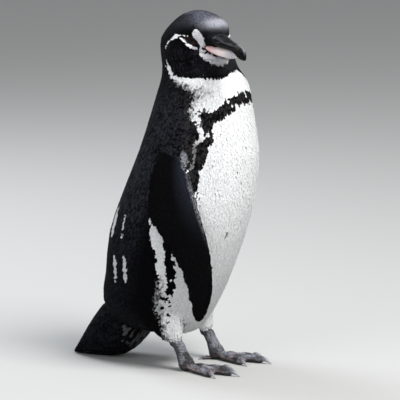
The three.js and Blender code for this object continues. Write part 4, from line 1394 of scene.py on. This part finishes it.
def make_claws():
    """Smooth tapering hooks that come out of the toes' rounded ends and down to the floor."""
    turn = np.arange(CLAW_AROUND) / CLAW_AROUND * 2 * math.pi
    parts, tints = [], []
    for start, heading, length, radius, claw in toe_lines(1) + toe_lines(-1):
        rings = []
        for t in np.linspace(-0.22, 1, CLAW_ROWS):
            thick = radius * 0.62 * (1 - max(t, 0)) ** 0.8 + 0.35 + min(t, 0)
            up = max(radius * (TOE_END_HEIGHT + 0.2 + 0.6 * t - 1.5 * t * t), thick * 0.8)
            middle = np.append(start + heading * (length + 0.3 + claw * t), up)
            across = np.append([heading[1], -heading[0]], 0.0) * thick * 0.85
            rings.append(middle + np.cos(turn)[:, None] * [0, 0, thick] + np.sin(turn)[:, None] * across)
        points, tris = closed_tube(np.array(rings))
        points[:, 2] = np.maximum(points[:, 2], 0.0)
        parts.append((points, tris))
        out = ((points[:, :2] - start) @ heading - length) / claw
        tints.append(mix(CLAW_ROOT, CLAW_TIP, step(0, 0.8, out)))
    obj = new_object("claws", *joined(parts))
    paint(obj.data, "tint", np.concatenate(tints))
    obj.data.materials.append(grained_material("claw_horn"))
    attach(obj, "root")
    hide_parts(*(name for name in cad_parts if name.startswith("claw_")))


# ---- Materials -----------------------------------------------------------------------------------
def new_material(name):
    material = bpy.data.materials.new(name)
    material.use_nodes = True
    return material, material.node_tree.nodes["Principled BSDF"]


MIDDLING = (0.3, 0.7)  # where most of a noise's values lie


class Nodes:
    """Short calls for building a material's nodes."""

    def __init__(self, material):
        self.tree = material.node_tree

    def add(self, kind, **settings):
        node = self.tree.nodes.new(kind)
        for key, value in settings.items():
            setattr(node, key, value)
        return node

    def link(self, start, end):
        self.tree.links.new(start, end)

    def tint(self):
        return self.add("ShaderNodeVertexColor", layer_name="tint").outputs["Color"]

    def noise(self, scale, detail, vector=None):
        node = self.add("ShaderNodeTexNoise")
        node.inputs["Scale"].default_value = scale
        node.inputs["Detail"].default_value = detail
        self.link(vector or self.add("ShaderNodeTexCoord").outputs["Object"], node.inputs["Vector"])
        return node.outputs["Fac"]

    def ramp(self, value, low, high, start, end):
        """A value's range from low to high, spread from start to end."""
        node = self.add("ShaderNodeMapRange")
        for key, number in (("From Min", low), ("From Max", high), ("To Min", start), ("To Max", end)):
            node.inputs[key].default_value = number
        self.link(value, node.inputs["Value"])
        return node.outputs["Result"]

    def grained(self, shader, colour, grain, shades, roughness):
        """A grain over the colour and the roughness."""
        self.link(self.shaded(colour, self.ramp(grain, *MIDDLING, *shades)), shader.inputs["Base Color"])
        self.link(self.ramp(grain, *MIDDLING, *roughness), shader.inputs["Roughness"])

    def shaded(self, colour, value):
        """A colour multiplied by a value."""
        node = self.add("ShaderNodeVectorMath", operation="SCALE")
        self.link(colour, node.inputs[0])
        self.link(value, node.inputs["Scale"])
        return node.outputs["Vector"]

    def bump(self, height, distance, strength, normal=None):
        """A normal that a height in metres tilts, over another one."""
        node = self.add("ShaderNodeBump")
        node.inputs["Distance"].default_value = distance
        node.inputs["Strength"].default_value = strength
        self.link(height, node.inputs["Height"])
        if normal:
            self.link(normal, node.inputs["Normal"])
        return node.outputs["Normal"]


def coat_material():
    material, shader = new_material("feathers")
    nodes = Nodes(material)
    barbs = nodes.add("ShaderNodeUVMap", uv_map="barbs").outputs["UV"]
    stripes = nodes.add("ShaderNodeTexWave", wave_type="BANDS", bands_direction="DIAGONAL")
    stripes.inputs["Scale"].default_value = 7.0
    stripes.inputs["Distortion"].default_value = 1.5
    nodes.link(barbs, stripes.inputs["Vector"])
    shade = nodes.ramp(nodes.noise(900, 2), *MIDDLING, 0.82, 1.1)
    nodes.link(nodes.shaded(nodes.tint(), shade), shader.inputs["Base Color"])
    nodes.link(nodes.ramp(nodes.noise(400, 2), *MIDDLING, 0.6, 0.78), shader.inputs["Roughness"])
    nodes.link(nodes.bump(stripes.outputs["Fac"], 0.00012, 0.5), shader.inputs["Normal"])
    shader.inputs["Specular IOR Level"].default_value = 0.02
    return material


def horn_feather_material():
    material, shader = new_material("quills")
    nodes = Nodes(material)
    stretched = nodes.add("ShaderNodeMapping")
    stretched.inputs["Scale"].default_value = (1, 0.12, 0.12)
    nodes.link(nodes.add("ShaderNodeTexCoord").outputs["Object"], stretched.inputs["Vector"])
    grain = nodes.noise(2600, 3, stretched.outputs["Vector"])
    nodes.grained(shader, nodes.tint(), grain, (0.6, 1.5), (0.42, 0.62))
    nodes.link(nodes.bump(grain, 0.0003, 0.6), shader.inputs["Normal"])
    return material


# Of each plain grained material: the noise's scale and detail, the shades and the roughness that it
# makes, the bump's height in metres and strength, and the specular level.
GRAINED = {
    "bare_skin": (1800, 4, (0.75, 1.2), (0.4, 0.6), (0.0003, 0.7), 0.12),
    "claw_horn": (500, 4, (0.75, 1.2), (0.25, 0.45), (0.00006, 0.5), 0.5),
}


def grained_material(name):
    scale, detail, shades, roughness, bump, specular = GRAINED[name]
    material, shader = new_material(name)
    nodes = Nodes(material)
    grain = nodes.noise(scale, detail)
    nodes.grained(shader, nodes.tint(), grain, shades, roughness)
    nodes.link(nodes.bump(grain, *bump), shader.inputs["Normal"])
    shader.inputs["Specular IOR Level"].default_value = specular
    return material


def foot_material():
    material, shader = new_material("foot_skin")
    nodes = Nodes(material)
    scales = nodes.add("ShaderNodeTexVoronoi", feature="DISTANCE_TO_EDGE")
    scales.inputs["Scale"].default_value = 720
    nodes.link(nodes.add("ShaderNodeTexCoord").outputs["Object"], scales.inputs["Vector"])
    edge = nodes.ramp(scales.outputs["Distance"], 0.0, 0.22, 0, 1)
    fine = nodes.noise(2400, 4)
    colour = nodes.shaded(nodes.tint(), nodes.ramp(edge, 0, 1, 0.45, 1.1))
    nodes.grained(shader, colour, fine, (0.75, 1.25), (0.34, 0.56))
    scaly = nodes.bump(edge, 0.00035, 0.7)
    nodes.link(nodes.bump(fine, 0.0002, 0.5, scaly), shader.inputs["Normal"])
    return material


def bill_material():
    material, shader = new_material("bill_horn")
    nodes = Nodes(material)
    grain = nodes.noise(900, 5)
    scratch = nodes.noise(3200, 3)
    nodes.grained(shader, nodes.tint(), grain, (0.86, 1.12), (0.28, 0.52))
    rough = nodes.bump(grain, 0.0006, 0.5)
    nodes.link(nodes.bump(scratch, 0.0002, 0.4, rough), shader.inputs["Normal"])
    shader.inputs["Specular IOR Level"].default_value = 0.06
    return material


def eye_material():
    material, shader = new_material("eye")
    nodes = Nodes(material)
    shade = nodes.ramp(nodes.noise(1500, 3), *MIDDLING, 0.8, 1.2)
    nodes.link(nodes.shaded(nodes.tint(), shade), shader.inputs["Base Color"])
    shader.inputs["Roughness"].default_value = 0.12
    shader.inputs["Specular IOR Level"].default_value = 0.1
    shader.inputs["Coat Weight"].default_value = 0.16
    shader.inputs["Coat Roughness"].default_value = 0.03
    return material


# ---- The penguin ---------------------------------------------------------------------------------
make_stage()
make_bill()
make_eyes()
body_flesh, feet_flesh = body_skin(), foot_skin()
make_skin(body_flesh, feet_flesh)
make_coat(body_flesh, feet_flesh)
make_tail_quills()
make_claws()
